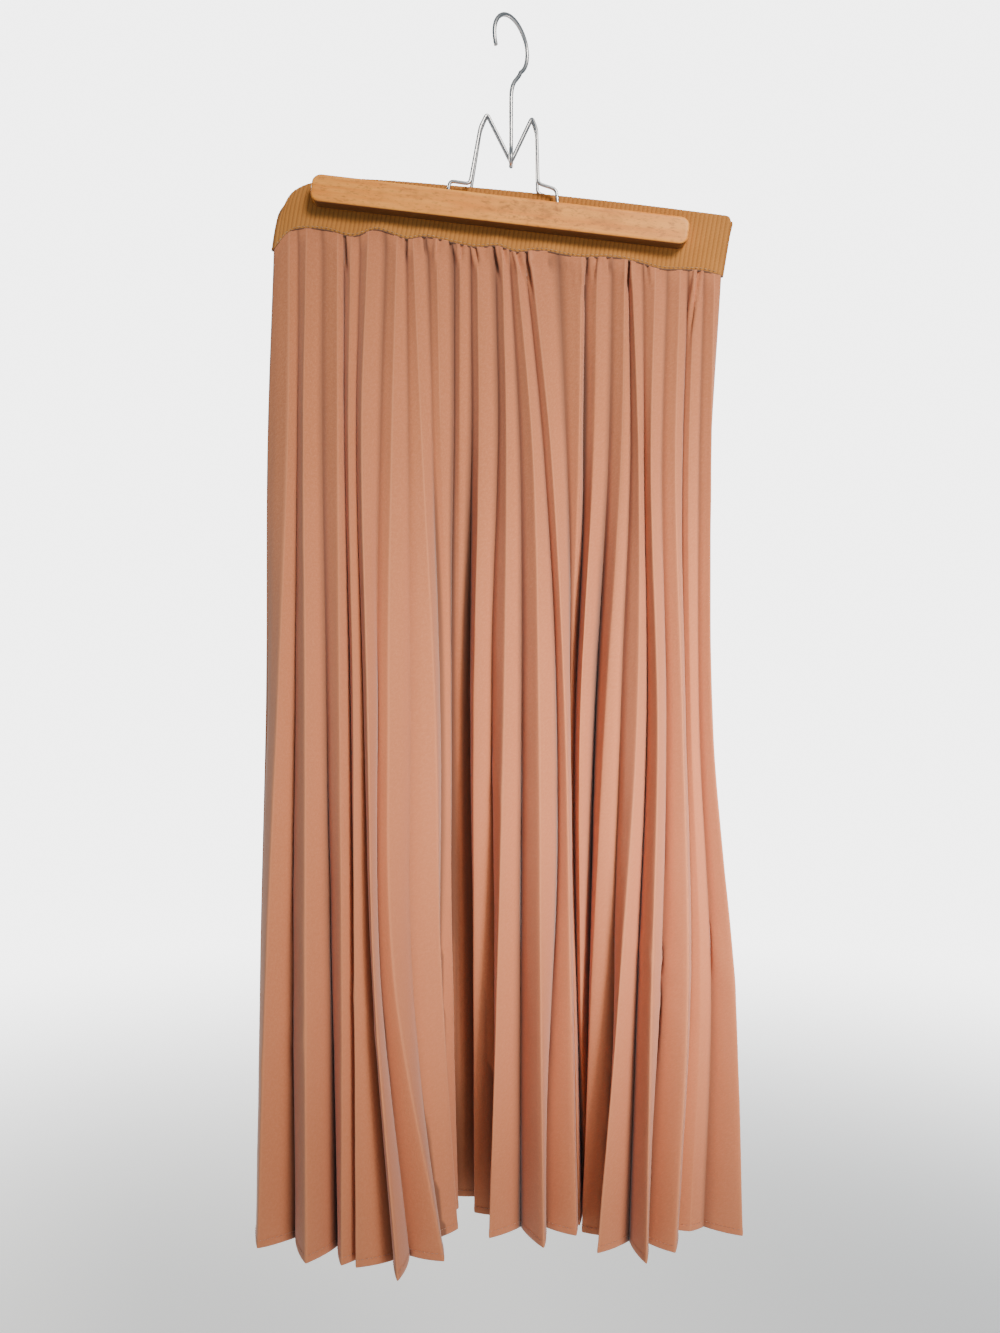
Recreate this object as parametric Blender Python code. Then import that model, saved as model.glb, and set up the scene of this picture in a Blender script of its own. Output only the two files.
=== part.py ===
"""Pleated midi skirt, its ribbed elastic waistband clamped between the two wooden bars of a wire-framed hanger.

The origin is the inner top of the hanger's hook. The skirt's front faces -Y and +Z is up. Sizes are in millimetres:
x is measured from the middle of the bars, "out" from the clamp's middle plane towards the front, and "down" from the
inner top of the hook.
"""

import math
from collections import namedtuple

import bmesh
import bpy

MM = 0.001
GAP = 0.3

# Cloth walls, and the elastic's ribs that stand on its wall
CLOTH = 1.2
ELASTIC = 1.6
RIB_HEIGHT = 0.45
RIBS_A_SIDE = 86

# The skirt hangs 743 from seam to hem, and its seam drops with the tilted bars by 104 in each 1000
SKIRT_LENGTH = 743.0
SEAM_DOWN = 175.2
SEAM_SLOPE = 0.104
SEAM_GAP = 0.8
FOLD_EDGE = 1.6
SIDE_CURL = (1.6, 0.5)

# How far folds stand from the clamp's middle plane at the waist: beside the side folds, and what the middle adds
FRONT_TROUGHS = (1.3, 0.9)
FRONT_RIDGES = (3.1, 3.1)
BACK_FOLDS = (1.9, 2.2)
BAND_OPENING = 3.2

# Clamp bars
BAR_LENGTH = 286.0
BAR_HEIGHT = 21.0
BAR_THICKNESS = 12.0
BAR_DOWN = 150.6
BAR_TILT = math.radians(6.7)
BAR_CORNER = 6.0
BAR_EDGE = 1.5
CLAMP_GAP = 5.4

# Wire frames and hook
WIRE_RADIUS = 1.3
WIRE_BEND = 3.0
WIRE_APART = 1.6
HOOK_RADIUS = 1.6
HOOK_INNER = 19.0
HOOK_TURN = math.radians(52.0)
HOOK_X = 8.4
EYE_RADIUS = 4.9
EYE_DOWN = 107.0

# The levels down the skirt at which the folds are given, and those at which the cloth has a row of points
FOLD_LEVELS = (0.0, 0.21, 0.47, 0.74, 1.0)
ROWS = (0.0, 0.05, 0.13, 0.22, 0.34, 0.47, 0.6, 0.74, 0.87, 1.0)
BAND_ROWS = (0.0, 0.74, 1.0)

Point = namedtuple("Point", "x down")
Pleat = namedtuple("Pleat", "waist upper middle lower hem out trough_x trough_out")
Station = namedtuple("Station", "share side angle crest")

# The elastic's top edge: its left end droops outside the clamp
BAND_TOP = (
    Point(-162, 137),
    Point(-156, 131),
    Point(-145, 126),
    Point(-122, 122),
    Point(-15, 129.5),
    Point(92, 140.5),
    Point(153, 148),
    Point(176, 151),
)
# The seam under it, drawn into shallow waves by the gathers
FRONT_SEAM = (
    Point(-172.5, 176.5),
    Point(-161, 164),
    Point(-150, 161),
    Point(-132, 162.5),
    Point(-112, 167.5),
    Point(-94, 162.5),
    Point(-71, 169.5),
    Point(-57, 168),
    Point(-29, 174),
    Point(-17, 176),
    Point(-2, 175),
    Point(12, 179.5),
    Point(31, 178.5),
    Point(58, 183.2),
    Point(85, 183.5),
    Point(106, 187.5),
    Point(122, 192),
    Point(152, 193),
    Point(168.5, 196.5),
)
BACK_SEAM = (
    Point(-172.5, 176.5),
    Point(-160, 163),
    Point(-145, 160),
    Point(-120, 165),
    Point(-98, 163.5),
    Point(-66, 170.5),
    Point(-40, 169),
    Point(-8, 177),
    Point(20, 175.5),
    Point(50, 182),
    Point(78, 180.5),
    Point(104, 188),
    Point(130, 188),
    Point(150, 193.5),
    Point(168.5, 196.5),
)

# Front pleats from left to right: where each ridge runs at the five fold levels, how far its hem stands out, and
# where the trough after it ends at the hem
FRONT_PLEATS = (
    Pleat(-160, -159, -163, -168, -170, 70, -146, 53),
    Pleat(-147, -147, -142, -138, -133, 87, -114, 59),
    Pleat(-123, -121, -117, -112, -109, 85, -90, 64),
    Pleat(-113, -113, -107, -103, -99, 86, -73, 74),
    Pleat(-100, -103, -96, -88, -69, 100, -64, 65),
    Pleat(-78, -81, -82, -76, -39, 71, -46, 38),
    Pleat(-66, -59, -49, -44, -31, 23, -50, 8),
    Pleat(-48, -45, -40, -37, -32, -12, -48, -38),
    Pleat(-30, -31, -32, -30, -28, -35, -8, -39),
    Pleat(-17, -16, -20, -20, -20, -12, 3, -9),
    Pleat(2, 5, 3, -2, -8, 23, 16, 4),
    Pleat(12, 25, 29, 30, 32, 35, 33, 2),
    Pleat(23, 39, 49, 53, 57, 15, 58, -25),
    Pleat(63, 63, 57, 57, 61, -8, 64, -44),
    Pleat(74, 73, 62, 62, 68, -22, 79, -40),
    Pleat(95, 92, 80, 70, 63, -5, 87, 1),
    Pleat(100, 105, 103, 89, 72, 25, 98, 5),
    Pleat(118, 114, 118, 112, 107, 36, 109, 1),
    Pleat(137, 133, 138, 141, 131, 17, 136, -19),
    Pleat(148, 144, 147, 155, 148, -17, 160, -26),
    Pleat(163, 161, 163, 181, 188, -13, 187, -25),
)
# The side seams, as rows of the same kind
LEFT_SIDE = Pleat(-172.5, -176, -175, -177, -176, 38, None, None)
RIGHT_SIDE = Pleat(168.5, 161, 163, 180, 185, -36, None, None)

# The back: its hem runs round behind the front between the side seams, with even pleats about it
BACK_PLEATS = 18
BACK_PLEAT_DEPTH = 13.0
BACK_HEM = (
    (-176, 38),
    (-158, 12),
    (-152, -28),
    (-138, -64),
    (-90, -78),
    (0, -80),
    (90, -80),
    (150, -78),
    (172, -62),
    (185, -36),
)


def smooth(at, knots, values):
    """The value at `at` of a smooth curve through `values` at `knots`."""
    last = len(knots) - 2
    i = next((k for k in range(last) if at < knots[k + 1]), last)
    span = knots[i + 1] - knots[i]
    share = (at - knots[i]) / span

    def slope(k):
        low, high = max(k - 1, 0), min(k + 1, len(knots) - 1)
        return (values[high] - values[low]) / (knots[high] - knots[low])

    rise = values[i + 1] - values[i]
    bend_in = slope(i) * span - rise
    bend_out = rise - slope(i + 1) * span
    return values[i] + rise * share + share * (1 - share) * (bend_in * (1 - share) + bend_out * share)


def mix(a, b, share):
    return a + (b - a) * share


def lengths_along(points):
    """The distance from the first point to each."""
    run = [0.0]
    for a, b in zip(points, points[1:]):
        run.append(run[-1] + math.dist(a, b))
    return run


def along(points, share):
    """The place at this share of the length of a smooth curve through the points."""
    run = lengths_along(points)
    return tuple(smooth(share * run[-1], run, axis) for axis in zip(*points))


def seam_down(seam, x):
    return smooth(x, [p.x for p in seam], [p.down for p in seam])


def seam_share(x):
    return min(max((x - FRONT_SEAM[0].x) / (FRONT_SEAM[-1].x - FRONT_SEAM[0].x), 0.0), 1.0)


def bulge(x):
    """How far the cloth stands open under the clamp: none at the side folds, 1 in the middle."""
    return math.sqrt(math.sin(math.pi * seam_share(x)))


def stand(sizes, x):
    """How far a kind of fold stands out at the waist, from its least size and what the middle adds."""
    return sizes[0] + sizes[1] * bulge(x)


def place(x, out, down):
    """Metres in the part's frame."""
    return ((x - HOOK_X) * MM, -out * MM, -down * MM)


def new_object(name, data, colour, roughness, metallic=0.0):
    obj = bpy.data.objects.new(name, data)
    PARTS.objects.link(obj)
    material = bpy.data.materials.new(name)
    material.use_nodes = True
    shader = material.node_tree.nodes["Principled BSDF"]
    shader.inputs["Base Color"].default_value = (*colour, 1.0)
    shader.inputs["Roughness"].default_value = roughness
    shader.inputs["Metallic"].default_value = metallic
    data.materials.append(material)
    return obj


def wall_mesh(name, outer, inner, ring=False):
    """A closed wall from two grids of points with rows from top to hem. A ring's rows meet end to end."""
    mesh = bmesh.new()
    sides = [[[mesh.verts.new(place(*point)) for point in row] for row in side] for side in (outer, inner)]
    columns = len(outer[0])
    steps = range(columns if ring else columns - 1)
    for side in sides:
        for above, below in zip(side, side[1:]):
            for i in steps:
                j = (i + 1) % columns
                mesh.faces.new((above[i], above[j], below[j], below[i]))
    for row in (0, -1):
        a, b = sides[0][row], sides[1][row]
        for i in steps:
            j = (i + 1) % columns
            mesh.faces.new((a[i], a[j], b[j], b[i]))
    if not ring:
        for column in (0, -1):
            for r in range(len(outer) - 1):
                a, b = sides
                mesh.faces.new((a[r][column], a[r + 1][column], b[r + 1][column], b[r][column]))
    bmesh.ops.recalc_face_normals(mesh, faces=mesh.faces)
    data = bpy.data.meshes.new(name)
    mesh.to_mesh(data)
    mesh.free()
    return data


def wall_sides(path, half):
    """The two sides of a wall whose middle follows `path`, mitred at its bends, with its ends cut across x."""
    left, right = [], []
    for i, (x, out) in enumerate(path):
        if i in (0, len(path) - 1):
            side = 1.0 if i else -1.0
            shift = (side * half, 0.0)
            if out_of_turn(path, i, shift):
                shift = (-shift[0], 0.0)
        else:
            shift = mitre(path[i - 1], path[i], path[i + 1], half)
        left.append((x + shift[0], out + shift[1]))
        right.append((x - shift[0], out - shift[1]))
    return left, right


def out_of_turn(path, i, shift):
    """Whether the shift points to the right of the path's end stretch instead of to its left."""
    a, b = (path[0], path[1]) if i == 0 else (path[-2], path[-1])
    return (b[0] - a[0]) * shift[1] - (b[1] - a[1]) * shift[0] < 0


def mitre(before, here, after, half):
    """The shift to the left of the path at a bend that keeps the wall's thickness."""
    normals = []
    for a, b in ((before, here), (here, after)):
        length = math.dist(a, b)
        normals.append(((a[1] - b[1]) / length, (b[0] - a[0]) / length))
    total = (normals[0][0] + normals[1][0], normals[0][1] + normals[1][1])
    size = math.hypot(*total)
    stretch = min(2.0 * half / size**2, 2.0 * half / size)
    return (total[0] * stretch, total[1] * stretch)


def blunt(folds, width):
    """Two points at each pleat's fold, so that its edge is a narrow flat and the wall keeps its thickness round it."""
    path = list(folds[:2])
    for before, here, after in zip(folds[1:], folds[2:-2], folds[3:]):
        length = math.dist(before, after)
        step = (width / 2 * (after[0] - before[0]) / length, width / 2 * (after[1] - before[1]) / length)
        path.append((here[0] - step[0], here[1] - step[1]))
        path.append((here[0] + step[0], here[1] + step[1]))
    return path + list(folds[-2:])


def fold_x(pleat, t):
    return smooth(t, FOLD_LEVELS, pleat[:5])


def opening_out(waist, hem, t):
    """How far a fold stands out at this level: the cloth opens a little faster towards the hem."""
    return mix(waist, hem, t**1.15)


def side_point(side, t):
    return (fold_x(side, t), opening_out(0.0, side.out, t))


def front_folds(t):
    """The front's fold points at one level, as (x, out, x at the waist), from the left seam to the right one."""
    left, right = side_point(LEFT_SIDE, t), side_point(RIGHT_SIDE, t)
    curl = mix(*SIDE_CURL, t)
    folds = [
        (left[0], left[1] + GAP / 2, LEFT_SIDE.waist),
        (left[0] + curl, left[1] + curl, LEFT_SIDE.waist + curl),
    ]
    for i, pleat in enumerate(FRONT_PLEATS):
        x = fold_x(pleat, t)
        folds.append((x, opening_out(stand(FRONT_RIDGES, pleat.waist), pleat.out, t), pleat.waist))
        if i + 1 < len(FRONT_PLEATS):
            after = FRONT_PLEATS[i + 1]
            lean = pleat.trough_x - (pleat.hem + after.hem) / 2
            middle = (x + fold_x(after, t)) / 2 + lean * t**2.5
            out = opening_out(stand(FRONT_TROUGHS, pleat.waist), pleat.trough_out, t)
            folds.append((middle, out, (pleat.waist + after.waist) / 2))
    folds.append((right[0] - curl / 2, right[1] + curl, RIGHT_SIDE.waist - curl))
    folds.append((right[0], right[1] + GAP / 2, RIGHT_SIDE.waist))
    return folds


def back_folds(t):
    """The back's fold points at one level, as front_folds gives them."""
    left, right = side_point(LEFT_SIDE, t), side_point(RIGHT_SIDE, t)
    curl = mix(*SIDE_CURL, t)
    waist_width = RIGHT_SIDE.waist - LEFT_SIDE.waist
    hem_width = BACK_HEM[-1][0] - BACK_HEM[0][0]
    folds = [
        (left[0], left[1] - GAP / 2, LEFT_SIDE.waist),
        (left[0] + curl, left[1] - curl, LEFT_SIDE.waist + curl),
    ]
    count = 2 * BACK_PLEATS - 1
    for i in range(1, count + 1):
        share = i / (count + 1) + 0.006 * math.sin(2.3 * i)
        waist_x = LEFT_SIDE.waist + share * waist_width
        here, ahead = along(BACK_HEM, share), along(BACK_HEM, share + 0.01)
        width_share = mix(share, (here[0] - BACK_HEM[0][0]) / hem_width, t**0.8)
        base_x = left[0] + width_share * (right[0] - left[0])
        slack = stand(BACK_FOLDS, waist_x)
        base_out = opening_out(-slack, here[1], t)
        length = math.dist(here, ahead)
        normal = ((ahead[1] - here[1]) / length, (here[0] - ahead[0]) / length)
        side = 1.0 if i % 2 else -1.0
        depth = mix(0.55 * slack - 0.35, BACK_PLEAT_DEPTH * (1 + 0.18 * math.sin(1.7 * i)), t) * side
        turn = t**0.7
        folds.append((base_x + depth * normal[0] * turn, base_out + depth * mix(-1.0, normal[1], turn), waist_x))
    folds.append((right[0] - curl, right[1] - curl, RIGHT_SIDE.waist - curl))
    folds.append((right[0], right[1] - GAP / 2, RIGHT_SIDE.waist))
    return folds


def panel(name, folds_at, seam):
    """A pleated panel: a wall lofted through its sections, each cut to hang from the seam."""
    outer, inner = [], []
    for t in ROWS:
        folds = folds_at(t)
        path = blunt([fold[:2] for fold in folds], FOLD_EDGE)
        waist_x = blunt([(fold[2], 0.0) for fold in folds], 0.0)
        drops = []
        for x, _ in waist_x:
            top = seam_down(seam, x) + SEAM_GAP
            drops.append(mix(top, SEAM_DOWN + SEAM_SLOPE * x + SKIRT_LENGTH, t))
        for grid, side in zip((outer, inner), wall_sides(path, CLOTH / 2)):
            grid.append([(x, out, down) for (x, out), down in zip(side, drops)])
    return new_object(name, wall_mesh(name, outer, inner), (0.48, 0.21, 0.12), 0.85)


def band_stations():
    """Stations round the elastic ring: ribs along the front, the right fold, ribs along the back, the left fold."""
    count = 2 * RIBS_A_SIDE
    run = [Station((i + 0.5) / count, 0, None, i % 2 == 1) for i in range(count)]
    front = [station._replace(side=1) for station in run]
    back = [station._replace(side=-1) for station in reversed(run)]
    right = [Station(1.0, 0, math.radians(angle), False) for angle in (55, 0, -55)]
    left = [Station(0.0, 0, math.radians(angle), False) for angle in (235, 180, 125)]
    return front + right + back + left


def waistband():
    """The elastic: two layers pressed flat in the clamp that part below it, with ribs raised on the outside only."""
    half = ELASTIC / 2
    flat = (CLAMP_GAP / 2 - GAP - RIB_HEIGHT) - half
    outer, inner = [], []
    for v in BAND_ROWS:
        outside, inside = [], []
        for station in band_stations():
            top = along(BAND_TOP, station.share)
            seam = BACK_SEAM if station.side < 0 else FRONT_SEAM
            seam_x = mix(seam[0].x, seam[-1].x, station.share)
            x = mix(top[0], seam_x, v)
            down = mix(top[1], seam_down(seam, seam_x), v)
            if station.side:
                stands = flat + (BAND_OPENING * bulge(seam_x) if v == 1.0 else 0.0)
                crest = RIB_HEIGHT if station.crest else 0.0
                outside.append((x, station.side * (stands + half + crest), down))
                inside.append((x, station.side * (stands - half), down))
            else:
                reach = (math.cos(station.angle), math.sin(station.angle))
                outside.append((x + reach[0] * (flat + half), reach[1] * (flat + half), down))
                inside.append((x + reach[0] * (flat - half), reach[1] * (flat - half), down))
        outer.append(outside)
        inner.append(inside)
    return new_object("waistband", wall_mesh("waistband", outer, inner, ring=True), (0.43, 0.19, 0.045), 0.9)


def clamp_bar(name, side):
    """A rounded beech bar. It is tilted with the clamp, and its inner face presses on the elastic."""
    mesh = bmesh.new()
    bmesh.ops.create_cube(mesh, size=1.0)
    for vert in mesh.verts:
        vert.co.x *= BAR_LENGTH * MM
        vert.co.y *= BAR_THICKNESS * MM
        vert.co.z *= BAR_HEIGHT * MM
    across = [e for e in mesh.edges if abs(e.verts[0].co.y - e.verts[1].co.y) > BAR_THICKNESS * MM / 2]
    bmesh.ops.bevel(mesh, geom=across, offset=BAR_CORNER * MM, segments=4, profile=0.5, affect="EDGES")
    rims = [e for e in mesh.edges if abs(e.verts[0].co.y - e.verts[1].co.y) < MM]
    bmesh.ops.bevel(mesh, geom=rims, offset=BAR_EDGE * MM, segments=2, profile=0.5, affect="EDGES")
    bmesh.ops.recalc_face_normals(mesh, faces=mesh.faces)
    data = bpy.data.meshes.new(name)
    mesh.to_mesh(data)
    mesh.free()
    bar = new_object(name, data, (0.58, 0.30, 0.12), 0.5)
    bar.location = place(0.0, side * (CLAMP_GAP + BAR_THICKNESS) / 2, BAR_DOWN)
    bar.rotation_euler = (0.0, BAR_TILT, 0.0)
    return bar


def bar_top(x):
    """How far down the top face of the bars is at x."""
    return BAR_DOWN + x * math.tan(BAR_TILT) - BAR_HEIGHT / 2 / math.cos(BAR_TILT)


def rounded(corners, radius, steps=4):
    """A wire's route with each corner turned round an arc."""
    route = [corners[0]]
    for before, here, after in zip(corners, corners[1:], corners[2:]):
        reach = []
        for other in (before, after):
            length = math.dist(here, other)
            cut = min(radius, 0.45 * length)
            reach.append([mix(h, o, cut / length) for h, o in zip(here, other)])
        for k in range(steps + 1):
            s = k / steps
            ends = zip(reach[0], here, reach[1])
            route.append(tuple((1 - s) ** 2 * a + 2 * s * (1 - s) * b + s * s * c for a, b, c in ends))
    route.append(corners[-1])
    return route


def wire(name, route, radius, resolution=2):
    """Round chromed wire along a route of (x, out, down) points."""
    data = bpy.data.curves.new(name, "CURVE")
    data.dimensions = "3D"
    data.bevel_depth = radius * MM
    data.bevel_resolution = resolution
    data.use_fill_caps = True
    spline = data.splines.new("POLY")
    spline.points.add(len(route) - 1)
    for point, at in zip(spline.points, route):
        point.co = (*place(*at), 1.0)
    return new_object(name, data, (0.75, 0.75, 0.76), 0.2, 1.0)


def wire_frame(name, side):
    """One bar's wire: up from the bar, over to a leg, a peak at each side, and a dip between them for the hook's eye."""
    in_bar = (CLAMP_GAP + BAR_THICKNESS) / 2
    corners = (
        (-39.2, in_bar, bar_top(-39.2) - GAP),
        (-38.0, in_bar, 127.3),
        (-22.9, in_bar, 129.5),
        (-15.1, 3.4, 84.0),
        (-9.9, WIRE_APART, 72.8),
        (HOOK_X, WIRE_APART, 109.2),
        (24.3, WIRE_APART, 75.7),
        (27.8, 3.4, 85.8),
        (28.7, in_bar, 129.2),
        (42.4, in_bar, 133.7),
        (43.6, in_bar, bar_top(43.6) - GAP),
    )
    route = rounded([(x, side * out, down) for x, out, down in corners], WIRE_BEND)
    return wire(name, route, WIRE_RADIUS)


def hook():
    """The hook: an open bowl over a stem that ends in an eye round both wire frames."""
    radius = HOOK_INNER + HOOK_RADIUS
    bowl = []
    for degrees in range(205, -60, -15):
        angle = math.radians(degrees)
        bowl.append((radius * math.cos(angle), HOOK_INNER - radius * math.sin(angle)))
    bowl += [(7.6, 42.3), (2.6, 49.0), (0.3, 57.0), (0.0, 66.0), (0.0, 80.0)]
    turned = [(HOOK_X + across * math.cos(HOOK_TURN), -across * math.sin(HOOK_TURN), down) for across, down in bowl]
    eye = [(0.0, EYE_DOWN - 12.0), (0.4, EYE_DOWN - 8.6), (1.5, EYE_DOWN - 6.0)]
    for degrees in range(40, 326, 19):
        angle = math.radians(degrees)
        eye.append((EYE_RADIUS * math.sin(angle), EYE_DOWN - EYE_RADIUS * math.cos(angle)))
    return wire("hook", turned + [(HOOK_X, out, down) for out, down in eye], HOOK_RADIUS)


def clear_scene():
    for obj in list(bpy.data.objects):
        bpy.data.objects.remove(obj, do_unlink=True)


def main():
    panel("front_panel", front_folds, FRONT_SEAM)
    panel("back_panel", back_folds, BACK_SEAM)
    waistband()
    clamp_bar("clamp_bar_front", 1.0)
    clamp_bar("clamp_bar_back", -1.0)
    wire_frame("wire_frame_front", 1.0)
    wire_frame("wire_frame_back", -1.0)
    hook()


clear_scene()
PARTS = bpy.data.collections.new("pleated_midi_skirt")
bpy.context.scene.collection.children.link(PARTS)
main()
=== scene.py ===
"""Dresses the pleated midi skirt and its clamp hanger: crepe, ribbed elastic, beech and bright wire.

The origin is the inner top of the hook, +Z is up and the skirt's front faces -Y. Tables and sizes are in millimetres:
x is measured from the middle of the bars, "out" from the clamp's middle plane towards the front, and "down" from the
inner top of the hook.
"""

from __future__ import annotations

import logging
import math
from dataclasses import dataclass
from enum import Enum
from typing import Sequence, Union

import bpy
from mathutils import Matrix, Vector, noise

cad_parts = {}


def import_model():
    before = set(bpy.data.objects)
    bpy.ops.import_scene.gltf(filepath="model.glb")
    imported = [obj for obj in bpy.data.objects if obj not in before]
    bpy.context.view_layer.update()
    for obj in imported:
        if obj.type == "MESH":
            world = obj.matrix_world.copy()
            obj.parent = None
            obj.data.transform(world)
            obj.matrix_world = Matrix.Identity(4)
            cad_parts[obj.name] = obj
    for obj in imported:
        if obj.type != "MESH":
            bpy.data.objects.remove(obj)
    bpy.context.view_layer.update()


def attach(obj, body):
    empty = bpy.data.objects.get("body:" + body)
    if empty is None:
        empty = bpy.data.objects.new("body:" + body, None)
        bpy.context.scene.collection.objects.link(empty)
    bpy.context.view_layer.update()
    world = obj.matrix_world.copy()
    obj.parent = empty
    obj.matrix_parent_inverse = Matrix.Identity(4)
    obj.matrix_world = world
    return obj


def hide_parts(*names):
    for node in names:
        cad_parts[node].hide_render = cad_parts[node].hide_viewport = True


LOG = logging.getLogger("skirt")

MM = 0.001
SEAM_GAP = 0.3
HOOK_X = 8.4
HOLLOW_REACH = 32.0
BODY = "root"
WINDOW_TONE = (1.0, 0.93, 0.84)
BOUNCE_TONE = (1.0, 0.88, 0.81)

Point3 = tuple[float, float, float]
Colour = tuple[float, float, float]
Flat = tuple[float, float]


class Side(Enum):
    """The two sides of the skirt, as the sign of "out"."""

    FRONT = 1
    BACK = -1


class Fold(Enum):
    """What a point of a section is: the edge of a pleat, the bottom between two pleats, or a side seam."""

    RIDGE = 1.0
    TROUGH = -1.0
    SEAM = 0.0


@dataclass(frozen=True)
class Pleat:
    """A pleat's ridge at the five fold levels, how far its hem stands out, and the trough after it.

    The trough has its place at the hem. Near the waist and at mid-height it has its share of the way to the next ridge
    and how far it is drawn in. "sunk" is how far the ridge itself is drawn in at mid-height.
    """

    waist: float
    upper: float
    middle: float
    lower: float
    hem: float
    out: float
    trough_x: float = 0.0
    trough_out: float = 0.0
    top_share: float = 0.5
    top_deep: float = 0.3
    mid_share: float = 0.5
    mid_deep: float = 0.0
    sunk: float = 0.0

    def x(self, t: float) -> float:
        """Where the ridge, or a side seam, runs at share t of the skirt's length."""
        return smooth(t, FOLD_LEVELS, (self.waist, self.upper, self.middle, self.lower, self.hem))


@dataclass(frozen=True)
class SectionPoint:
    """A fold of one section: its place, its place along the waist, what it is, and how the face after it bows.

    "deep" is how far a trough is drawn in beyond its neighbours; through the crest it darkens the crepe there as
    painted shade.
    """

    x: float
    out: float
    waist_x: float
    fold: Fold
    bow: float = 0.0
    deep: float = 0.0

    @property
    def crest(self) -> float:
        """1 on a ridge, -1 in a trough and less in a deep one, where the crepe is darkened as painted shade."""
        return self.fold.value - 0.3 * self.deep


@dataclass(frozen=True)
class Tuck:
    """A small gathered crease under the waist seam: where, how far it runs down, how deep it is and how it leans."""

    x: float
    length: float
    depth: float
    lean: float = 0.0


@dataclass(frozen=True)
class Crease:
    """A soft crease across the cloth, from one place on it to another."""

    x0: float
    down0: float
    x1: float
    down1: float
    width: float
    height: float


FOLD_LEVELS = (0.0, 0.21, 0.47, 0.74, 1.0)

FRONT_PLEATS = (
    Pleat(-160, -159, -163, -168, -170, 70, -146, 53, 0.5, 0.6),
    Pleat(-147, -147, -142, -138, -133, 87, -114, 59),
    Pleat(-123, -121, -117, -112, -109, 85, -90, 64, 0.4, 1.7, 0.5, 3),
    Pleat(-113, -113, -107, -103, -99, 86, -73, 74, 0.5, 0.6),
    Pleat(-100, -103, -96, -88, -69, 100, -64, 65, 0.6, 0.6),
    Pleat(-78, -81, -82, -76, -39, 71, -46, 38, 0.55, 0.9),
    Pleat(-66, -59, -49, -44, -31, 23, -50, 8, 0.6, 1.0, 0.5, 15),
    Pleat(-48, -45, -40, -37, -32, -12, -48, -38, 0.72, 1.7, 0.5, 5, 12),
    Pleat(-30, -31, -32, -30, -28, -35, -8, -39, 0.6, 1.2, 0.6, 4, 6),
    Pleat(-17, -16, -20, -20, -20, -12, 3, -9, 0.7, 1.5, 0.5, 0, -5),
    Pleat(2, 5, 3, -2, -8, 23, 16, 4, 0.5, 1.0, 0.5, 1),
    Pleat(12, 25, 29, 30, 32, 35, 33, 2, 0.6, 0.8, 0.8, 1),
    Pleat(23, 39, 49, 53, 57, 15, 58, -25, 0.55, 0.9, 0.8, 2),
    Pleat(62, 60, 55, 57, 61, -8, 64, -44, 0.16, 5.5, 0.8, 9, 9),
    Pleat(74, 71, 61, 62, 68, -22, 79, -40, 0.55, 0.6, 0.6, 1, -10),
    Pleat(95, 92, 80, 70, 63, -5, 87, 1, 0.55, 1.9, 0.4, 1, -2),
    Pleat(100, 105, 103, 89, 72, 25, 98, 5, 0.5, 0.6),
    Pleat(118, 114, 118, 112, 107, 36, 109, 1, 0.5, 0.5),
    Pleat(137, 133, 138, 141, 131, 17, 136, -19, 0.6, 1.5, 0.5, 2),
    Pleat(148, 144, 147, 155, 148, -17, 160, -26, 0.5, 0.8),
    Pleat(163, 161, 163, 181, 188, -13, 187, -25),
)
LEFT_SIDE = Pleat(-172.5, -176, -175, -177, -176, 38)
RIGHT_SIDE = Pleat(168.5, 161, 163, 180, 185, -36)

BACK_HEM: tuple[Flat, ...] = (
    (-176, 38),
    (-158, 12),
    (-152, -28),
    (-138, -64),
    (-90, -78),
    (0, -80),
    (90, -80),
    (150, -78),
    (172, -62),
    (185, -36),
)

BAND_TOP: tuple[Flat, ...] = (
    (-162, 137),
    (-156, 131),
    (-145, 126),
    (-122, 122),
    (-15, 129.5),
    (92, 140.5),
    (153, 148),
    (176, 151),
)
FRONT_SEAM: tuple[Flat, ...] = (
    (-172.5, 176.5),
    (-161, 164),
    (-150, 161),
    (-132, 162.5),
    (-112, 167.5),
    (-94, 162.5),
    (-71, 169.5),
    (-57, 168),
    (-29, 174),
    (-17, 176),
    (-2, 175),
    (12, 179.5),
    (31, 178.5),
    (58, 183.2),
    (85, 183.5),
    (106, 187.5),
    (122, 192),
    (152, 193),
    (168.5, 196.5),
)
BACK_SEAM: tuple[Flat, ...] = (
    (-172.5, 176.5),
    (-160, 163),
    (-145, 160),
    (-120, 165),
    (-98, 163.5),
    (-66, 170.5),
    (-40, 169),
    (-8, 177),
    (20, 175.5),
    (50, 182),
    (78, 180.5),
    (104, 188),
    (130, 188),
    (150, 193.5),
    (168.5, 196.5),
)

FRONT_TUCKS = (
    Tuck(-118, 34, 1.2, 2),
    Tuck(-71, 22, 0.9, -1),
    Tuck(-58, 16, 1.3, 2),
    Tuck(-46, 24, 1.5, -2),
    Tuck(-38, 13, 1.2, 3),
    Tuck(-29, 19, 1.6, -1),
    Tuck(-19, 21, 1.4, 4),
    Tuck(-11, 12, 1.0, -2),
    Tuck(-5, 27, 1.6, 5),
    Tuck(3, 15, 1.2, 2),
    Tuck(13, 24, 1.7, 6),
    Tuck(20, 36, 1.8, 5),
    Tuck(26, 17, 1.3, -2),
    Tuck(36, 24, 1.2, 5),
    Tuck(49, 13, 0.9, 2),
    Tuck(60, 30, 1.8, 1),
    Tuck(66, 15, 1.2, -1),
    Tuck(73, 22, 1.6, -2),
    Tuck(82, 14, 1.2, 2),
    Tuck(98, 26, 1.4, -1),
    Tuck(112, 18, 1.0, 1),
    Tuck(151, 60, 1.9, -8),
)

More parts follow.
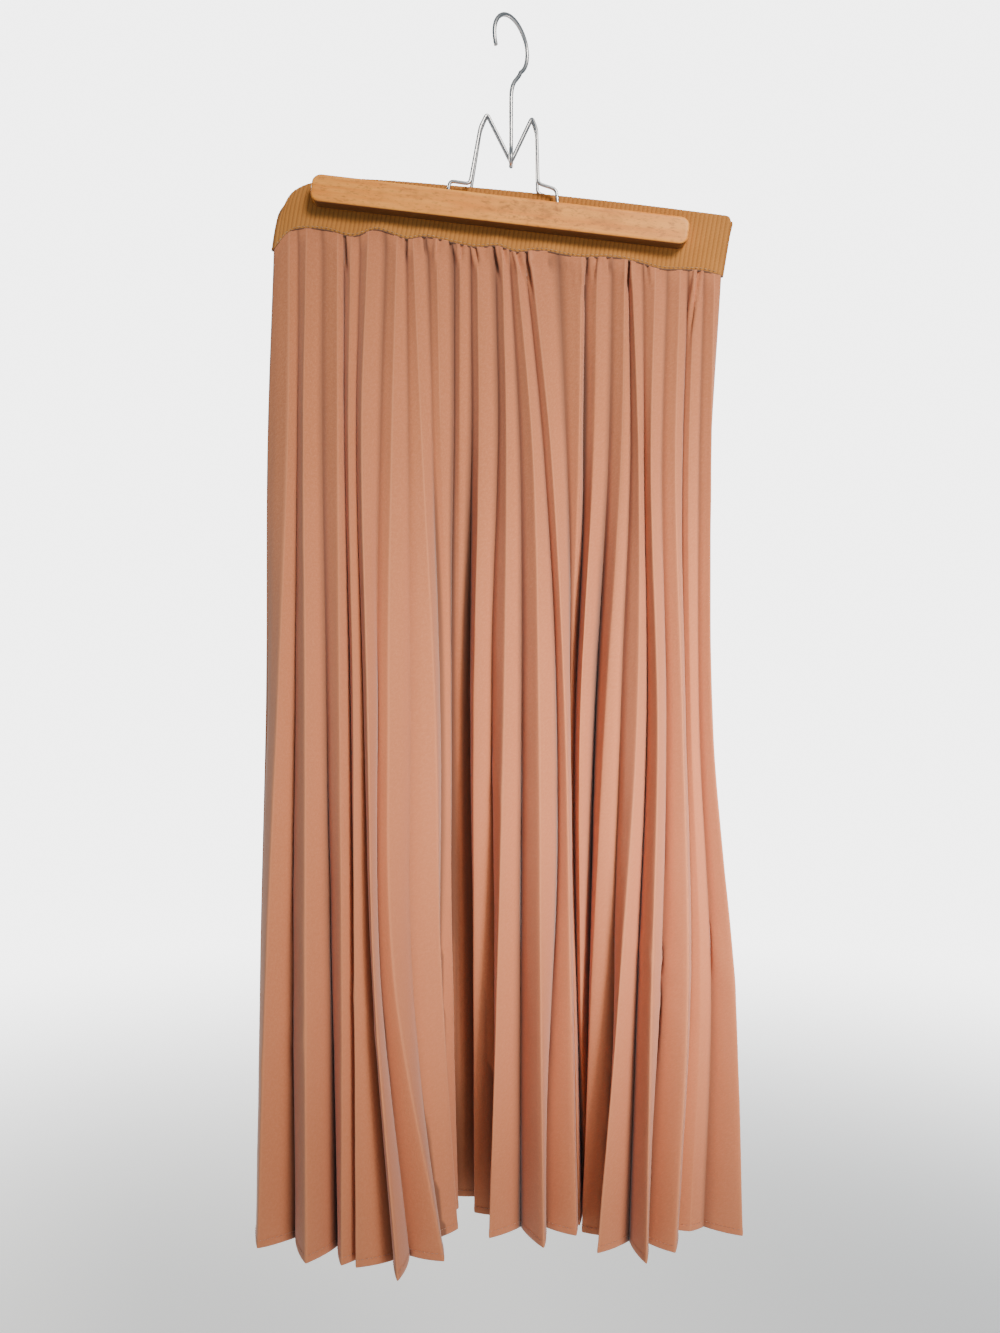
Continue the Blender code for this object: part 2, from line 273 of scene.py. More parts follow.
FRONT_CREASES = (
    Crease(-170, 785, -152, 742, 5, 0.9),
    Crease(-146, 772, -128, 735, 5, 0.7),
    Crease(-153, 640, -144, 690, 5, 0.5),
    Crease(101, 702, 144, 728, 6, 0.8),
    Crease(112, 740, 138, 762, 6, 0.6),
    Crease(158, 690, 178, 745, 6, 0.7),
    Crease(-104, 720, -86, 760, 5, 0.6),
    Crease(-10, 560, 4, 600, 6, 0.5),
)
BACK_CREASES = (
    Crease(-120, 600, -92, 640, 6, 0.8),
    Crease(-60, 780, -30, 738, 6, 0.9),
    Crease(20, 520, 44, 560, 6, 0.6),
    Crease(88, 760, 116, 722, 6, 0.8),
    Crease(130, 640, 150, 690, 5, 0.6),
    Crease(-20, 420, 6, 446, 6, 0.5),
)


def smooth(at: float, knots: Sequence[float], values: Sequence[float]) -> float:
    """The value of a smooth curve through points.

    Args:
        at: Where along the knots the value is asked for.
        knots: Rising places.
        values: The curve's value at each knot.

    Returns:
        The value at `at`.
    """
    last = len(knots) - 2
    i = next((k for k in range(last) if at < knots[k + 1]), last)
    span = knots[i + 1] - knots[i]
    share = (at - knots[i]) / span

    def slope(k: int) -> float:
        """The curve's slope at knot k."""
        low, high = max(k - 1, 0), min(k + 1, len(knots) - 1)
        return (values[high] - values[low]) / (knots[high] - knots[low])

    rise = values[i + 1] - values[i]
    bend_in = slope(i) * span - rise
    bend_out = rise - slope(i + 1) * span
    return values[i] + rise * share + share * (1 - share) * (bend_in * (1 - share) + bend_out * share)


def mix(a: float, b: float, share: float) -> float:
    """The value this share of the way from a to b."""
    return a + (b - a) * share


def ease(value: float, low: float, high: float) -> float:
    """0 up to low, 1 from high, and a soft rise between them."""
    share = min(max((value - low) / (high - low), 0.0), 1.0)
    return share * share * (3 - 2 * share)


def run_lengths(points: Sequence[Sequence[float]]) -> list[float]:
    """The distance along a line from its start to each of its points.

    Args:
        points: The line's points.

    Returns:
        As many distances, from 0.
    """
    run = [0.0]
    for a, b in zip(points, points[1:]):
        run.append(run[-1] + math.dist(a, b))
    return run


def along(points: Sequence[Flat], share: float) -> Flat:
    """The place on a smooth curve through points.

    Args:
        points: The curve's points.
        share: How much of its length lies before the place.

    Returns:
        The place.
    """
    run = run_lengths(points)
    x, y = (smooth(share * run[-1], run, axis) for axis in zip(*points))
    return (x, y)


def seam_down(seam: Sequence[Flat], x: float) -> float:
    """How far down the waist seam is at x."""
    return smooth(x, [p[0] for p in seam], [p[1] for p in seam])


def seam_share(x: float) -> float:
    """The share of the waist seam's width that lies left of x."""
    return min(max((x - FRONT_SEAM[0][0]) / (FRONT_SEAM[-1][0] - FRONT_SEAM[0][0]), 0.0), 1.0)


def bulge(x: float) -> float:
    """How far the cloth stands open under the clamp: none at the side folds, 1 in the middle."""
    return math.sqrt(math.sin(math.pi * seam_share(x)))


def stand(sizes: Flat, x: float) -> float:
    """How far a kind of fold stands out at the waist, from its least size and what the middle adds."""
    return sizes[0] + sizes[1] * bulge(x)


def opening_out(waist: float, hem: float, t: float) -> float:
    """How far a fold stands out at share t of the length."""
    return mix(waist, hem, t**1.15)


def place(x: float, out: float, down: float) -> Point3:
    """Metres in the part's frame."""
    return ((x - HOOK_X) * MM, -out * MM, -down * MM)


def ripple(x: float, y: float, seed: float) -> float:
    """Soft unevenness from -1 to 1, the same in each run."""
    return noise.noise(Vector((x, y, seed)))


Value = Union[float, "Signal"]


@dataclass(frozen=True)
class Signal:
    """A number that varies over a surface. Arithmetic on it adds Math nodes to its graph."""

    graph: "Nodes"
    socket: bpy.types.NodeSocket

    def math(self, operation: str, *values: Value) -> "Signal":
        """A Math node of these values.

        Args:
            operation: Blender's name for the operation.
            values: The node's inputs in order.

        Returns:
            The result.
        """
        return self.graph.value("ShaderNodeMath", "Value", {"operation": operation}, dict(enumerate(values)))

    def __add__(self, other: Value) -> "Signal":
        """self + other."""
        return self.math("ADD", self, other)

    def __radd__(self, other: Value) -> "Signal":
        """other + self."""
        return self.math("ADD", other, self)

    def __sub__(self, other: Value) -> "Signal":
        """self - other."""
        return self.math("SUBTRACT", self, other)

    def __rsub__(self, other: Value) -> "Signal":
        """other - self."""
        return self.math("SUBTRACT", other, self)

    def __mul__(self, other: Value) -> "Signal":
        """self * other."""
        return self.math("MULTIPLY", self, other)

    def __rmul__(self, other: Value) -> "Signal":
        """other * self."""
        return self.math("MULTIPLY", other, self)

    def sine(self) -> "Signal":
        """The sine of an angle in radians."""
        return self.math("SINE", self)

    def size(self) -> "Signal":
        """The value without its sign."""
        return self.math("ABSOLUTE", self)

    def rising(self, low: float, high: float) -> "Signal":
        """A soft rise from 0 to 1.

        Args:
            low: The value up to which it is 0.
            high: The value from which it is 1.

        Returns:
            The rise.
        """
        settings = {"interpolation_type": "SMOOTHSTEP", "clamp": True}
        inputs = {"Value": self, "From Min": low, "From Max": high}
        return self.graph.value("ShaderNodeMapRange", "Result", settings, inputs)


class Nodes:
    """A node tree, with one method for any node."""

    def __init__(self, tree: bpy.types.NodeTree) -> None:
        """Starts with the tree empty."""
        self.tree = tree
        self.tree.nodes.clear()

    def feed(self, socket: bpy.types.NodeSocket, value: object) -> None:
        """Links a socket to a signal or an output, or sets its number or colour.

        Args:
            socket: The socket that is fed.
            value: A signal, an output, a number or a colour.
        """
        if isinstance(value, Signal):
            value = value.socket
        if isinstance(value, bpy.types.NodeSocket):
            self.tree.links.new(value, socket)
            return
        if isinstance(value, tuple) and len(value) == 3 and socket.type == "RGBA":
            value = (*value, 1.0)
        socket.default_value = value

    def node(self, kind: str, settings: dict | None = None, inputs: dict | None = None) -> bpy.types.Node:
        """Any node.

        Args:
            kind: Blender's name for the type of node.
            settings: Its properties, set before its sockets.
            inputs: Values or links of its sockets, by name or number.

        Returns:
            The node.
        """
        made = self.tree.nodes.new(kind)
        for name, value in (settings or {}).items():
            setattr(made, name, value)
        for name, value in (inputs or {}).items():
            self.feed(made.inputs[name], value)
        return made

    def value(self, kind: str, output: str, settings: dict | None = None, inputs: dict | None = None) -> Signal:
        """A node's output as a signal."""
        return Signal(self, self.node(kind, settings, inputs).outputs[output])


class Graph(Nodes):
    """A material's nodes round one principled shader, with short ways for the usual ones."""

    def __init__(self, name: str) -> None:
        """Starts a material with a principled shader alone.

        Args:
            name: The material's name.
        """
        self.material = bpy.data.materials.new(name)
        self.material.use_nodes = True
        super().__init__(self.material.node_tree)
        self.shader = self.node("ShaderNodeBsdfPrincipled")
        self.surface = self.node("ShaderNodeOutputMaterial", inputs={"Surface": self.shader.outputs["BSDF"]})

    def blend(self, share: Value, a: object, b: object) -> bpy.types.NodeSocket:
        """The colour this share of the way from a to b."""
        made = self.node("ShaderNodeMix", {"data_type": "RGBA"}, {0: share, 6: a, 7: b})
        return made.outputs[2]

    def stretched(self, vector: bpy.types.NodeSocket, scale: Point3) -> bpy.types.NodeSocket:
        """Coordinates scaled along each axis."""
        return self.node("ShaderNodeVectorMath", {"operation": "MULTIPLY"}, {0: vector, 1: scale}).outputs["Vector"]

    def speckle(self, vector: bpy.types.NodeSocket, scale: float, detail: float = 2.0, rough: float = 0.5) -> Signal:
        """Noise from 0 to 1 at this scale."""
        inputs = {"Vector": vector, "Scale": scale, "Detail": detail, "Roughness": rough}
        return self.value("ShaderNodeTexNoise", "Fac", {"noise_dimensions": "3D"}, inputs)

    def coordinates(self) -> bpy.types.NodeSocket:
        """The piece's own coordinates, in metres."""
        return self.node("ShaderNodeTexCoord").outputs["Object"]

    def cloth(self) -> bpy.types.NodeSocket:
        """The place on the flat cloth, in metres."""
        return self.node("ShaderNodeUVMap", {"uv_map": "cloth"}).outputs["UV"]

    def attribute(self, name: str) -> Signal:
        """A number that the mesh holds at its points."""
        return self.value("ShaderNodeAttribute", "Fac", {"attribute_type": "GEOMETRY", "attribute_name": name})

    def relief(self, height: Signal, strength: float, depth: float) -> None:
        """Raises the surface's shading by a height from 0 to 1, depth metres high."""
        bump = self.node("ShaderNodeBump", inputs={"Strength": strength, "Distance": depth, "Height": height})
        self.feed(self.shader.inputs["Normal"], bump.outputs["Normal"])

    def set(self, **values: object) -> None:
        """Sets the shader's sockets, with _ for a space in their names."""
        for name, value in values.items():
            self.feed(self.shader.inputs[name.replace("_", " ")], value)


@dataclass(frozen=True)
class PleatedCrepe:
    """Matte crepe with a fine grain; painted highlight on its pleat ridges, painted shade in its troughs, lower part
    painted lighter.
    """

    base: Colour = (0.50, 0.172, 0.074)
    # Lighter tone taken by random patches and, as painted light, by the lower part of the skirt.
    lit_lower_and_patch_tone: Colour = (0.59, 0.204, 0.094)
    # Lighter tone for the grain's flecks, and the painted highlight along the pleat ridges.
    edge: Colour = (0.68, 0.270, 0.132)
    # Painted shade in the troughs, the hollows between folds and the gathers.
    shade: Colour = (0.19, 0.082, 0.050)

    def material(self) -> bpy.types.Material:
        """The finish as a material."""
        graph = Graph("pleated_crepe")
        cloth = graph.cloth()
        space = graph.coordinates()
        crest = graph.attribute("crest")
        grain = graph.speckle(cloth, 820.0, 3.0, 0.65)
        crimp = graph.speckle(cloth, 390.0, 2.0, 0.6)
        threads = graph.speckle(graph.stretched(cloth, (1900.0, 300.0, 1.0)), 1.0, 1.0)
        patches = graph.speckle(space, 7.0, 3.0)
        height = graph.value("ShaderNodeSeparateXYZ", "Z", inputs={"Vector": space})
        # Painted light: the lower part of the skirt is painted lighter; random patches take the same lighter tone.
        lower = (0.0 - height).rising(0.2, 0.7)
        colour = graph.blend(lower * 0.8 + (patches.rising(0.3, 0.7) - 0.5) * 0.3, self.base, self.lit_lower_and_patch_tone)
        fine = (grain - 0.5) * 0.95 + (threads - 0.5) * 0.5 + (crimp - 0.5) * 0.75
        colour = graph.blend(fine + 0.12, colour, self.edge)
        # Painted shade where the crest numbers fall: deep troughs, hollows between folds and gathers.
        colour = graph.blend((0.0 - crest).rising(0.5, 1.9) * 0.85, colour, self.shade)
        # Painted highlight along the pleat ridges.
        colour = graph.blend(crest.rising(0.82, 1.0) * 0.5, colour, self.edge)
        graph.set(Base_Color=colour, Roughness=0.82 + grain * 0.12)
        graph.set(Sheen_Weight=0.3, Sheen_Roughness=0.5, Specular_IOR_Level=0.25)
        graph.relief(grain * 0.4 + threads * 0.25 + crimp * 0.35, 0.6, 0.0006)
        return graph.material


@dataclass(frozen=True)
class RibbedElastic:
    """Knitted elastic, matte, crossed by fine rows of stitches, with a painted highlight on its rib crests and painted
    shade in its grooves.
    """

    base: Colour = (0.44, 0.172, 0.034)
    # Lighter tone for random patches, and the painted highlight on the rib crests.
    crest: Colour = (0.56, 0.24, 0.056)
    # Painted shade in the grooves between the ribs.
    groove: Colour = (0.25, 0.09, 0.018)

    def material(self) -> bpy.types.Material:
        """The finish as a material."""
        graph = Graph("ribbed_elastic")
        cloth = graph.cloth()
        parts = graph.node("ShaderNodeSeparateXYZ", inputs={"Vector": cloth})
        rows = (Signal(graph, parts.outputs["Y"]) * (2 * math.pi / 0.0011)).sine() * 0.5 + 0.5
        rib = graph.attribute("crest")
        fluff = graph.speckle(cloth, 1500.0, 2.0, 0.65)
        patches = graph.speckle(graph.coordinates(), 22.0, 2.0)
        colour = graph.blend(patches.rising(0.3, 0.75) * 0.5 + (fluff - 0.5) * 0.6, self.base, self.crest)
        # Painted shade in the grooves between the ribs.
        colour = graph.blend((1.0 - rib.rising(0.0, 0.5)) * 0.55, colour, self.groove)
        # Painted highlight on the rib crests, broken by the rows of stitches.
        colour = graph.blend(rib.rising(0.6, 1.0) * rows * 0.4, colour, self.crest)
        graph.set(Base_Color=colour, Roughness=0.84 + fluff * 0.1)
        graph.set(Sheen_Weight=0.25, Sheen_Roughness=0.45, Specular_IOR_Level=0.25)
        graph.relief(rows * 0.5 + fluff * 0.5, 0.5, 0.0004)
        return graph.material


@dataclass(frozen=True)
class VarnishedBeech:
    """Honey beech under a thin satin varnish: long fine grain, short flecks, soft brown patches, worn edges, and a dark
    underside painted as shade.
    """

    light: Colour = (1.0, 0.40, 0.062)
    base: Colour = (0.82, 0.262, 0.028)
    dark: Colour = (0.40, 0.125, 0.022)
    # Painted shade on the bar's underside.
    under: Colour = (0.085, 0.034, 0.012)

    def material(self) -> bpy.types.Material:
        """The finish as a material."""
        graph = Graph("varnished_beech")
        space = graph.coordinates()
        grain = graph.speckle(graph.stretched(space, (11.0, 190.0, 190.0)), 1.0, 5.0, 0.66)
        flecks = graph.speckle(graph.stretched(space, (240.0, 900.0, 700.0)), 1.0, 2.0)
        patches = graph.speckle(graph.stretched(space, (38.0, 75.0, 75.0)), 1.0, 5.0, 0.72)
        stain = graph.speckle(graph.stretched(space, (150.0, 330.0, 330.0)), 1.0, 3.0, 0.7)
        edge = graph.attribute("edge")
        faces = graph.node("ShaderNodeNewGeometry").outputs["Normal"]
        # Painted shade: faces that look down are darkened.
        under = (0.0 - graph.value("ShaderNodeSeparateXYZ", "Z", inputs={"Vector": faces})).rising(0.45, 0.95)
        along_bar = graph.value("ShaderNodeSeparateXYZ", "X", inputs={"Vector": space})
        handled = 1.0 - ((along_bar - 0.03).size() * 14.0).rising(0.2, 1.0)
        worn_end = along_bar.rising(0.085, 0.13)
        colour = graph.blend(grain.rising(0.32, 0.68), self.base, self.light)
        colour = graph.blend(patches.rising(0.46, 0.7) * (0.34 + handled * 0.3), colour, self.dark)
        colour = graph.blend(stain.rising(0.52, 0.68) * (0.24 + handled * 0.4 + worn_end * 0.35), colour, self.dark)
        colour = graph.blend(flecks.rising(0.56, 0.72) * 0.55, colour, self.dark)
        colour = graph.blend(edge * grain.rising(0.35, 0.6) * 0.5, colour, self.light)
        colour = graph.blend(under * 0.95, colour, self.under)
        graph.set(Base_Color=colour, Roughness=0.42 + patches * 0.16 + flecks * 0.08)
        graph.set(Coat_Roughness=0.34, Specular_IOR_Level=0.35, Coat_Weight=0.2)
        graph.relief(grain * 0.6 + flecks * 0.4, 0.22, 0.0003)
        return graph.material


@dataclass(frozen=True)
class BrightWire:
    """Bright plated wire with faint drawing marks and a little dulling."""

    tone: Colour = (0.62, 0.62, 0.63)
    dull: Colour = (0.40, 0.40, 0.41)

    def material(self) -> bpy.types.Material:
        """The finish as a material."""
        graph = Graph("bright_wire")
        space = graph.coordinates()
        marks = graph.speckle(graph.stretched(space, (1600.0, 1600.0, 60.0)), 1.0, 2.0)
        dulling = graph.speckle(space, 60.0, 3.0)
        colour = graph.blend(dulling.rising(0.45, 0.8) * 0.6, self.tone, self.dull)
        graph.set(Base_Color=colour, Roughness=0.3 + dulling * 0.1 + marks * 0.04, Metallic=1.0)
        graph.relief(marks, 0.05, 0.0001)
        return graph.material


@dataclass(frozen=True)
class SewingThread:
    """Twisted thread of one colour."""

    name: str
    tone: Colour
    twist: Colour

    def material(self) -> bpy.types.Material:
        """The finish as a material."""
        graph = Graph(self.name)
        space = graph.coordinates()
        twist = graph.speckle(space, 2600.0, 1.0)
        colour = graph.blend(twist.rising(0.35, 0.65), self.tone, self.twist)
        graph.set(Base_Color=colour, Roughness=0.7 + twist * 0.15, Sheen_Weight=0.2)
        graph.relief(twist, 0.4, 0.0002)
        return graph.material


@dataclass(frozen=True)
class PaleFloor:
    """The studio's pale matte floor, which fades into the backdrop's tone far out."""

    tone: Colour = (0.9, 0.9, 0.895)
    glow: float = 0.42

    def material(self) -> bpy.types.Material:
        """The finish as a material."""
        graph = Graph("pale_floor")
        space = graph.coordinates()
        cloudy = graph.speckle(space, 1.5, 2.0)
        away = graph.value("ShaderNodeVectorMath", "Value", {"operation": "LENGTH"}, {0: space})
        graph.set(Base_Color=graph.blend(cloudy * 0.15, self.tone, (0.8, 0.8, 0.8)), Roughness=0.9)
        graph.set(Specular_IOR_Level=0.0, Emission_Color=(0.96, 0.98, 1.0, 1.0), Emission_Strength=self.glow)
        clear = graph.node("ShaderNodeBsdfTransparent").outputs["BSDF"]
        solid = graph.shader.outputs["BSDF"]
        both = graph.node("ShaderNodeMixShader", inputs={0: away.rising(1.6, 3.4), 1: solid, 2: clear})
        graph.feed(graph.surface.inputs["Surface"], both.outputs["Shader"])
        return graph.material


@dataclass
class Loft:
    """Rows of points that close into a thin wall, with a number and a place on the flat cloth at each point."""

    name: str
    outer: list[list[Point3]]
    inner: list[list[Point3]]
    crest: list[list[float]]
    flat: list[list[Flat]]
    ring: bool = False

    def build(self, material: bpy.types.Material) -> bpy.types.Object:
        """Makes the wall.

        Args:
            material: Its finish.

        Returns:
            The new object, in the part's frame.
        """
        rows, columns = len(self.outer), len(self.outer[0])
        points = [place(*p) for side in (self.outer, self.inner) for row in side for p in row]
        crests = [v for _ in range(2) for row in self.crest for v in row]
        flats = [f for _ in range(2) for row in self.flat for f in row]
        steps = columns if self.ring else columns - 1
        offset = rows * columns
        faces = []
        for r in range(rows - 1):
            for i in range(steps):
                j = (i + 1) % columns
                a, b, c, d = r * columns + i, r * columns + j, (r + 1) * columns + j, (r + 1) * columns + i
                faces.append((a, d, c, b))
                faces.append((offset + a, offset + b, offset + c, offset + d))
        for i in range(steps):
            j = (i + 1) % columns
            low = (rows - 1) * columns
            faces.append((i, j, offset + j, offset + i))
            faces.append((low + i, offset + low + i, offset + low + j, low + j))
        if not self.ring:
            for r in range(rows - 1):
                a, b = r * columns, (r + 1) * columns
                faces.append((a, offset + a, offset + b, b))
                a, b = a + columns - 1, b + columns - 1
                faces.append((a, b, offset + b, offset + a))
        wall = finished(self.name, points, faces, material, {"crest": crests})
        layer = wall.data.uv_layers.new(name="cloth")
        for loop, corner in zip(wall.data.loops, layer.data):
            corner.uv = flats[loop.vertex_index]
        return wall


def finished(
    name: str,
    points: Sequence[Sequence[float]],
    faces: Sequence[Sequence[int]],
    material: bpy.types.Material,
    numbers: dict[str, list[float]] | None = None,
) -> bpy.types.Object:
    """A smooth-shaded object, linked to the scene.

    Args:
        name: Its name.
        points: Its points in metres.
        faces: The numbers of each face's points.
        material: Its finish.
        numbers: Named numbers that its points hold.

    Returns:
        The new object.
    """
    mesh = bpy.data.meshes.new(name)
    mesh.from_pydata(points, [], faces)
    for title, values in (numbers or {}).items():
        mesh.attributes.new(title, "FLOAT", "POINT").data.foreach_set("value", values)
    mesh.materials.append(material)
    mesh.polygons.foreach_set("use_smooth", [True] * len(mesh.polygons))
    mesh.update()
    made = bpy.data.objects.new(name, mesh)
    bpy.context.scene.collection.objects.link(made)
    return made


def tube_faces(rings: int, sides: int, first: int = 0, turned: bool = False) -> list[tuple[int, ...]]:
    """The faces of a closed tube.

    Args:
        rings: How many rings of points it has.
        sides: How many points a ring has.
        first: The number of its first point.
        turned: True where its rings run the other way round.

    Returns:
        The faces round it, then its two ends.
    """
    faces: list[tuple[int, ...]] = []
    for r in range(rings - 1):
        for s in range(sides):
            n = (s + 1) % sides
            a, b = first + r * sides, first + (r + 1) * sides
            faces.append((a + s, a + n, b + n, b + s) if turned else (a + s, b + s, b + n, a + n))
    start = range(first, first + sides)
    end = range(first + (rings - 1) * sides, first + rings * sides)
    faces.append(tuple(reversed(start) if turned else start))
    faces.append(tuple(end if turned else reversed(end)))
    return faces


def outward(path: Sequence[Flat], i: int) -> Flat:
    """The unit direction to the left of a path at one of its points.

    Args:
        path: The path's points.
        i: The point's number.

    Returns:
        The direction.
    """
    a, b = path[max(i - 1, 0)], path[min(i + 1, len(path) - 1)]
    here = path[i]
    total = [0.0, 0.0]
    for start, end in ((a, here), (here, b)):
        length = math.dist(start, end)
        if length > 1e-9:
            total[0] += (start[1] - end[1]) / length
            total[1] += (end[0] - start[0]) / length
    size = math.hypot(*total) or 1.0
    return (total[0] / size, total[1] / size)


@dataclass
class DensePoint:
    """A point of the fine section, before the wall is given its thickness."""

    x: float
    out: float
    waist_x: float
    crest: float


def hollows(section: Sequence[DensePoint], side: Side, deepest: float) -> list[float]:
    """How deep each point of a section lies between the folds beside it, for the crepe's painted shade in its hollows.

    Args:
        section: The section's points.
        side: The side of the skirt.
        deepest: The depth that counts as 1, in millimetres.

    Returns:
        A number from 0 to 1 for each point.
    """
    sign = float(side.value)
    depths = []
    for point in section:
        left = max(sign * p.out for p in section if -HOLLOW_REACH < p.x - point.x <= 0.0)
        right = max(sign * p.out for p in section if 0.0 <= p.x - point.x < HOLLOW_REACH)
        depths.append(min(max((min(left, right) - sign * point.out) / deepest, 0.0), 1.0))
    return depths


@dataclass
class PleatedPanel:
    """One side of the skirt: a thin pleated wall from the waist seam to a narrow stitched hem."""

    side: Side
    finish: bpy.types.Material
    seam: Sequence[Flat]
    tucks: Sequence[Tuck]
    creases: Sequence[Crease]
    length: float = 743.0
    seam_level: float = 175.2
    seam_slope: float = 0.104
    half_cloth: float = 0.3
    face_steps: int = 6
    fold_round: float = 0.7
    hem_height: float = 5.0
    back_pleats: int = 18
    back_depth: float = 13.0
    side_curl: Flat = (1.6, 0.5)
    seam_gap: float = 0.1
    gather_height: float = 15.0
    elastic_out: float = 1.5
    elastic_opening: float = 3.2
    ridge_stand: Flat = (3.1, 3.1)
    trough_stand: Flat = (1.3, 0.9)
    back_stand: Flat = (1.9, 2.2)
    shallow: float = 3.0
    tuck_reach: float = 5.0
    crease_reach: float = 70.0
    held_points: float = 8.0
    hem_face: float = 0.22
    hem_inside: float = 0.3

    def front_folds(self, t: float) -> list[SectionPoint]:
        """The front's folds, from the left seam to the right one.

        Args:
            t: The share of the skirt's length.

        Returns:
            The folds at that level.
        """
        left, right = self.side_points(t)
        curl = mix(*self.side_curl, t)
        folds = [
            SectionPoint(left[0], left[1] + SEAM_GAP / 2, LEFT_SIDE.waist, Fold.SEAM),
            SectionPoint(left[0] + curl, left[1] + curl, LEFT_SIDE.waist + curl, Fold.SEAM),
        ]
        reached = ease(t, 0.15, 0.42)
        kept = 1.0 - ease(t, 0.6, 0.92)
        below_seam = ease(t, 0.05, 0.17)
        near_waist = 1.0 - ease(t, 0.35, 0.75)
        for pleat, after in zip(FRONT_PLEATS, (*FRONT_PLEATS[1:], None)):
            x = pleat.x(t)
            out = opening_out(stand(self.ridge_stand, pleat.waist), pleat.out, t) - pleat.sunk * reached * kept
            drawn = mix(min(pleat.top_deep, self.shallow), pleat.top_deep, below_seam) * near_waist
            deep = mix(drawn, min(pleat.mid_deep, self.shallow), reached * kept)
            bow = 0.5 * min(drawn, self.shallow) * ease(t, 0.01, 0.06)
            folds.append(SectionPoint(x, out, pleat.waist, Fold.RIDGE, bow=bow))
            if after:
                width = after.x(t) - x
                lean = pleat.trough_x - (pleat.hem + after.hem) / 2
                share = mix(0.5, mix(pleat.top_share, pleat.mid_share, reached), kept)
                middle = x + width * share + lean * t**2.5
                out = opening_out(stand(self.trough_stand, pleat.waist) - drawn, pleat.trough_out, t)
                out -= pleat.mid_deep * reached * kept
                waist_x = (pleat.waist + after.waist) / 2
                folds.append(SectionPoint(middle, out, waist_x, Fold.TROUGH, deep=deep))
        folds.append(SectionPoint(right[0] - curl / 2, right[1] + curl, RIGHT_SIDE.waist - curl, Fold.SEAM))
        folds.append(SectionPoint(right[0], right[1] + SEAM_GAP / 2, RIGHT_SIDE.waist, Fold.SEAM))
        return folds

    def back_folds(self, t: float) -> list[SectionPoint]:
        """The back's folds, from the left seam to the right one.

        Args:
            t: The share of the skirt's length.

        Returns:
            The folds at that level.
        """
        left, right = self.side_points(t)
        curl = mix(*self.side_curl, t)
        waist_width = RIGHT_SIDE.waist - LEFT_SIDE.waist
        hem_width = BACK_HEM[-1][0] - BACK_HEM[0][0]
        folds = [
            SectionPoint(left[0], left[1] - SEAM_GAP / 2, LEFT_SIDE.waist, Fold.SEAM),
            SectionPoint(left[0] + curl, left[1] - curl, LEFT_SIDE.waist + curl, Fold.SEAM),
        ]
        count = 2 * self.back_pleats - 1
        for i in range(1, count + 1):
            share = i / (count + 1) + 0.006 * math.sin(2.3 * i)
            waist_x = LEFT_SIDE.waist + share * waist_width
            here, ahead = along(BACK_HEM, share), along(BACK_HEM, share + 0.01)
            width_share = mix(share, (here[0] - BACK_HEM[0][0]) / hem_width, t**0.8)
            base_x = left[0] + width_share * (right[0] - left[0])
            slack = stand(self.back_stand, waist_x)
            base_out = opening_out(-slack, here[1], t)
            length = math.dist(here, ahead)
            normal = ((ahead[1] - here[1]) / length, (here[0] - ahead[0]) / length)
            fold = Fold.RIDGE if i % 2 else Fold.TROUGH
            depth = mix(0.55 * slack - 0.35, self.back_depth * (1 + 0.18 * math.sin(1.7 * i)), t) * fold.value
            x = base_x + depth * normal[0] * t**0.7
            out = base_out + depth * mix(-1.0, normal[1], t**0.7)
            folds.append(SectionPoint(x, out, waist_x, fold))
        folds.append(SectionPoint(right[0] - curl, right[1] - curl, RIGHT_SIDE.waist - curl, Fold.SEAM))
        folds.append(SectionPoint(right[0], right[1] - SEAM_GAP / 2, RIGHT_SIDE.waist, Fold.SEAM))
        return folds

    def side_points(self, t: float) -> tuple[Flat, Flat]:
        """Where the left and the right side seam run at share t of the length."""
        return (
            (LEFT_SIDE.x(t), opening_out(0.0, LEFT_SIDE.out, t)),
            (RIGHT_SIDE.x(t), opening_out(0.0, RIGHT_SIDE.out, t)),
        )

    def dense(self, t: float) -> list[DensePoint]:
        """The fine section: each fold pressed to a narrow round edge and each face bowed outwards.

        Args:
            t: The share of the skirt's length.

        Returns:
            The same number of points at every level.
        """
        folds = self.front_folds(t) if self.side is Side.FRONT else self.back_folds(t)
        last = len(folds) - 1
        points = [DensePoint(folds[0].x, folds[0].out, folds[0].waist_x, 0.0)]
        for i in range(last):
            a, b = folds[i], folds[i + 1]
            length = math.dist((a.x, a.out), (b.x, b.out))
            cut = [min(self.fold_round, 0.2 * length) / length if 0 < k < last else 0.0 for k in (i, i + 1)]
            face = self.face_points(a, b, i, t, length, cut)
            points.extend(face)
            if i + 1 < last:
                after = folds[i + 2]
                ahead = math.dist((b.x, b.out), (after.x, after.out))
                reach = min(self.fold_round, 0.2 * ahead) / ahead
                leave = (mix(b.x, after.x, reach), mix(b.out, after.out, reach))
                enter = (face[-1].x, face[-1].out)
                x = (enter[0] + leave[0]) / 4 + b.x / 2
                out = (enter[1] + leave[1]) / 4 + b.out / 2
                points.append(DensePoint(x, out, b.waist_x, b.crest))
        points.append(DensePoint(folds[-1].x, folds[-1].out, folds[-1].waist_x, 0.0))
        return points

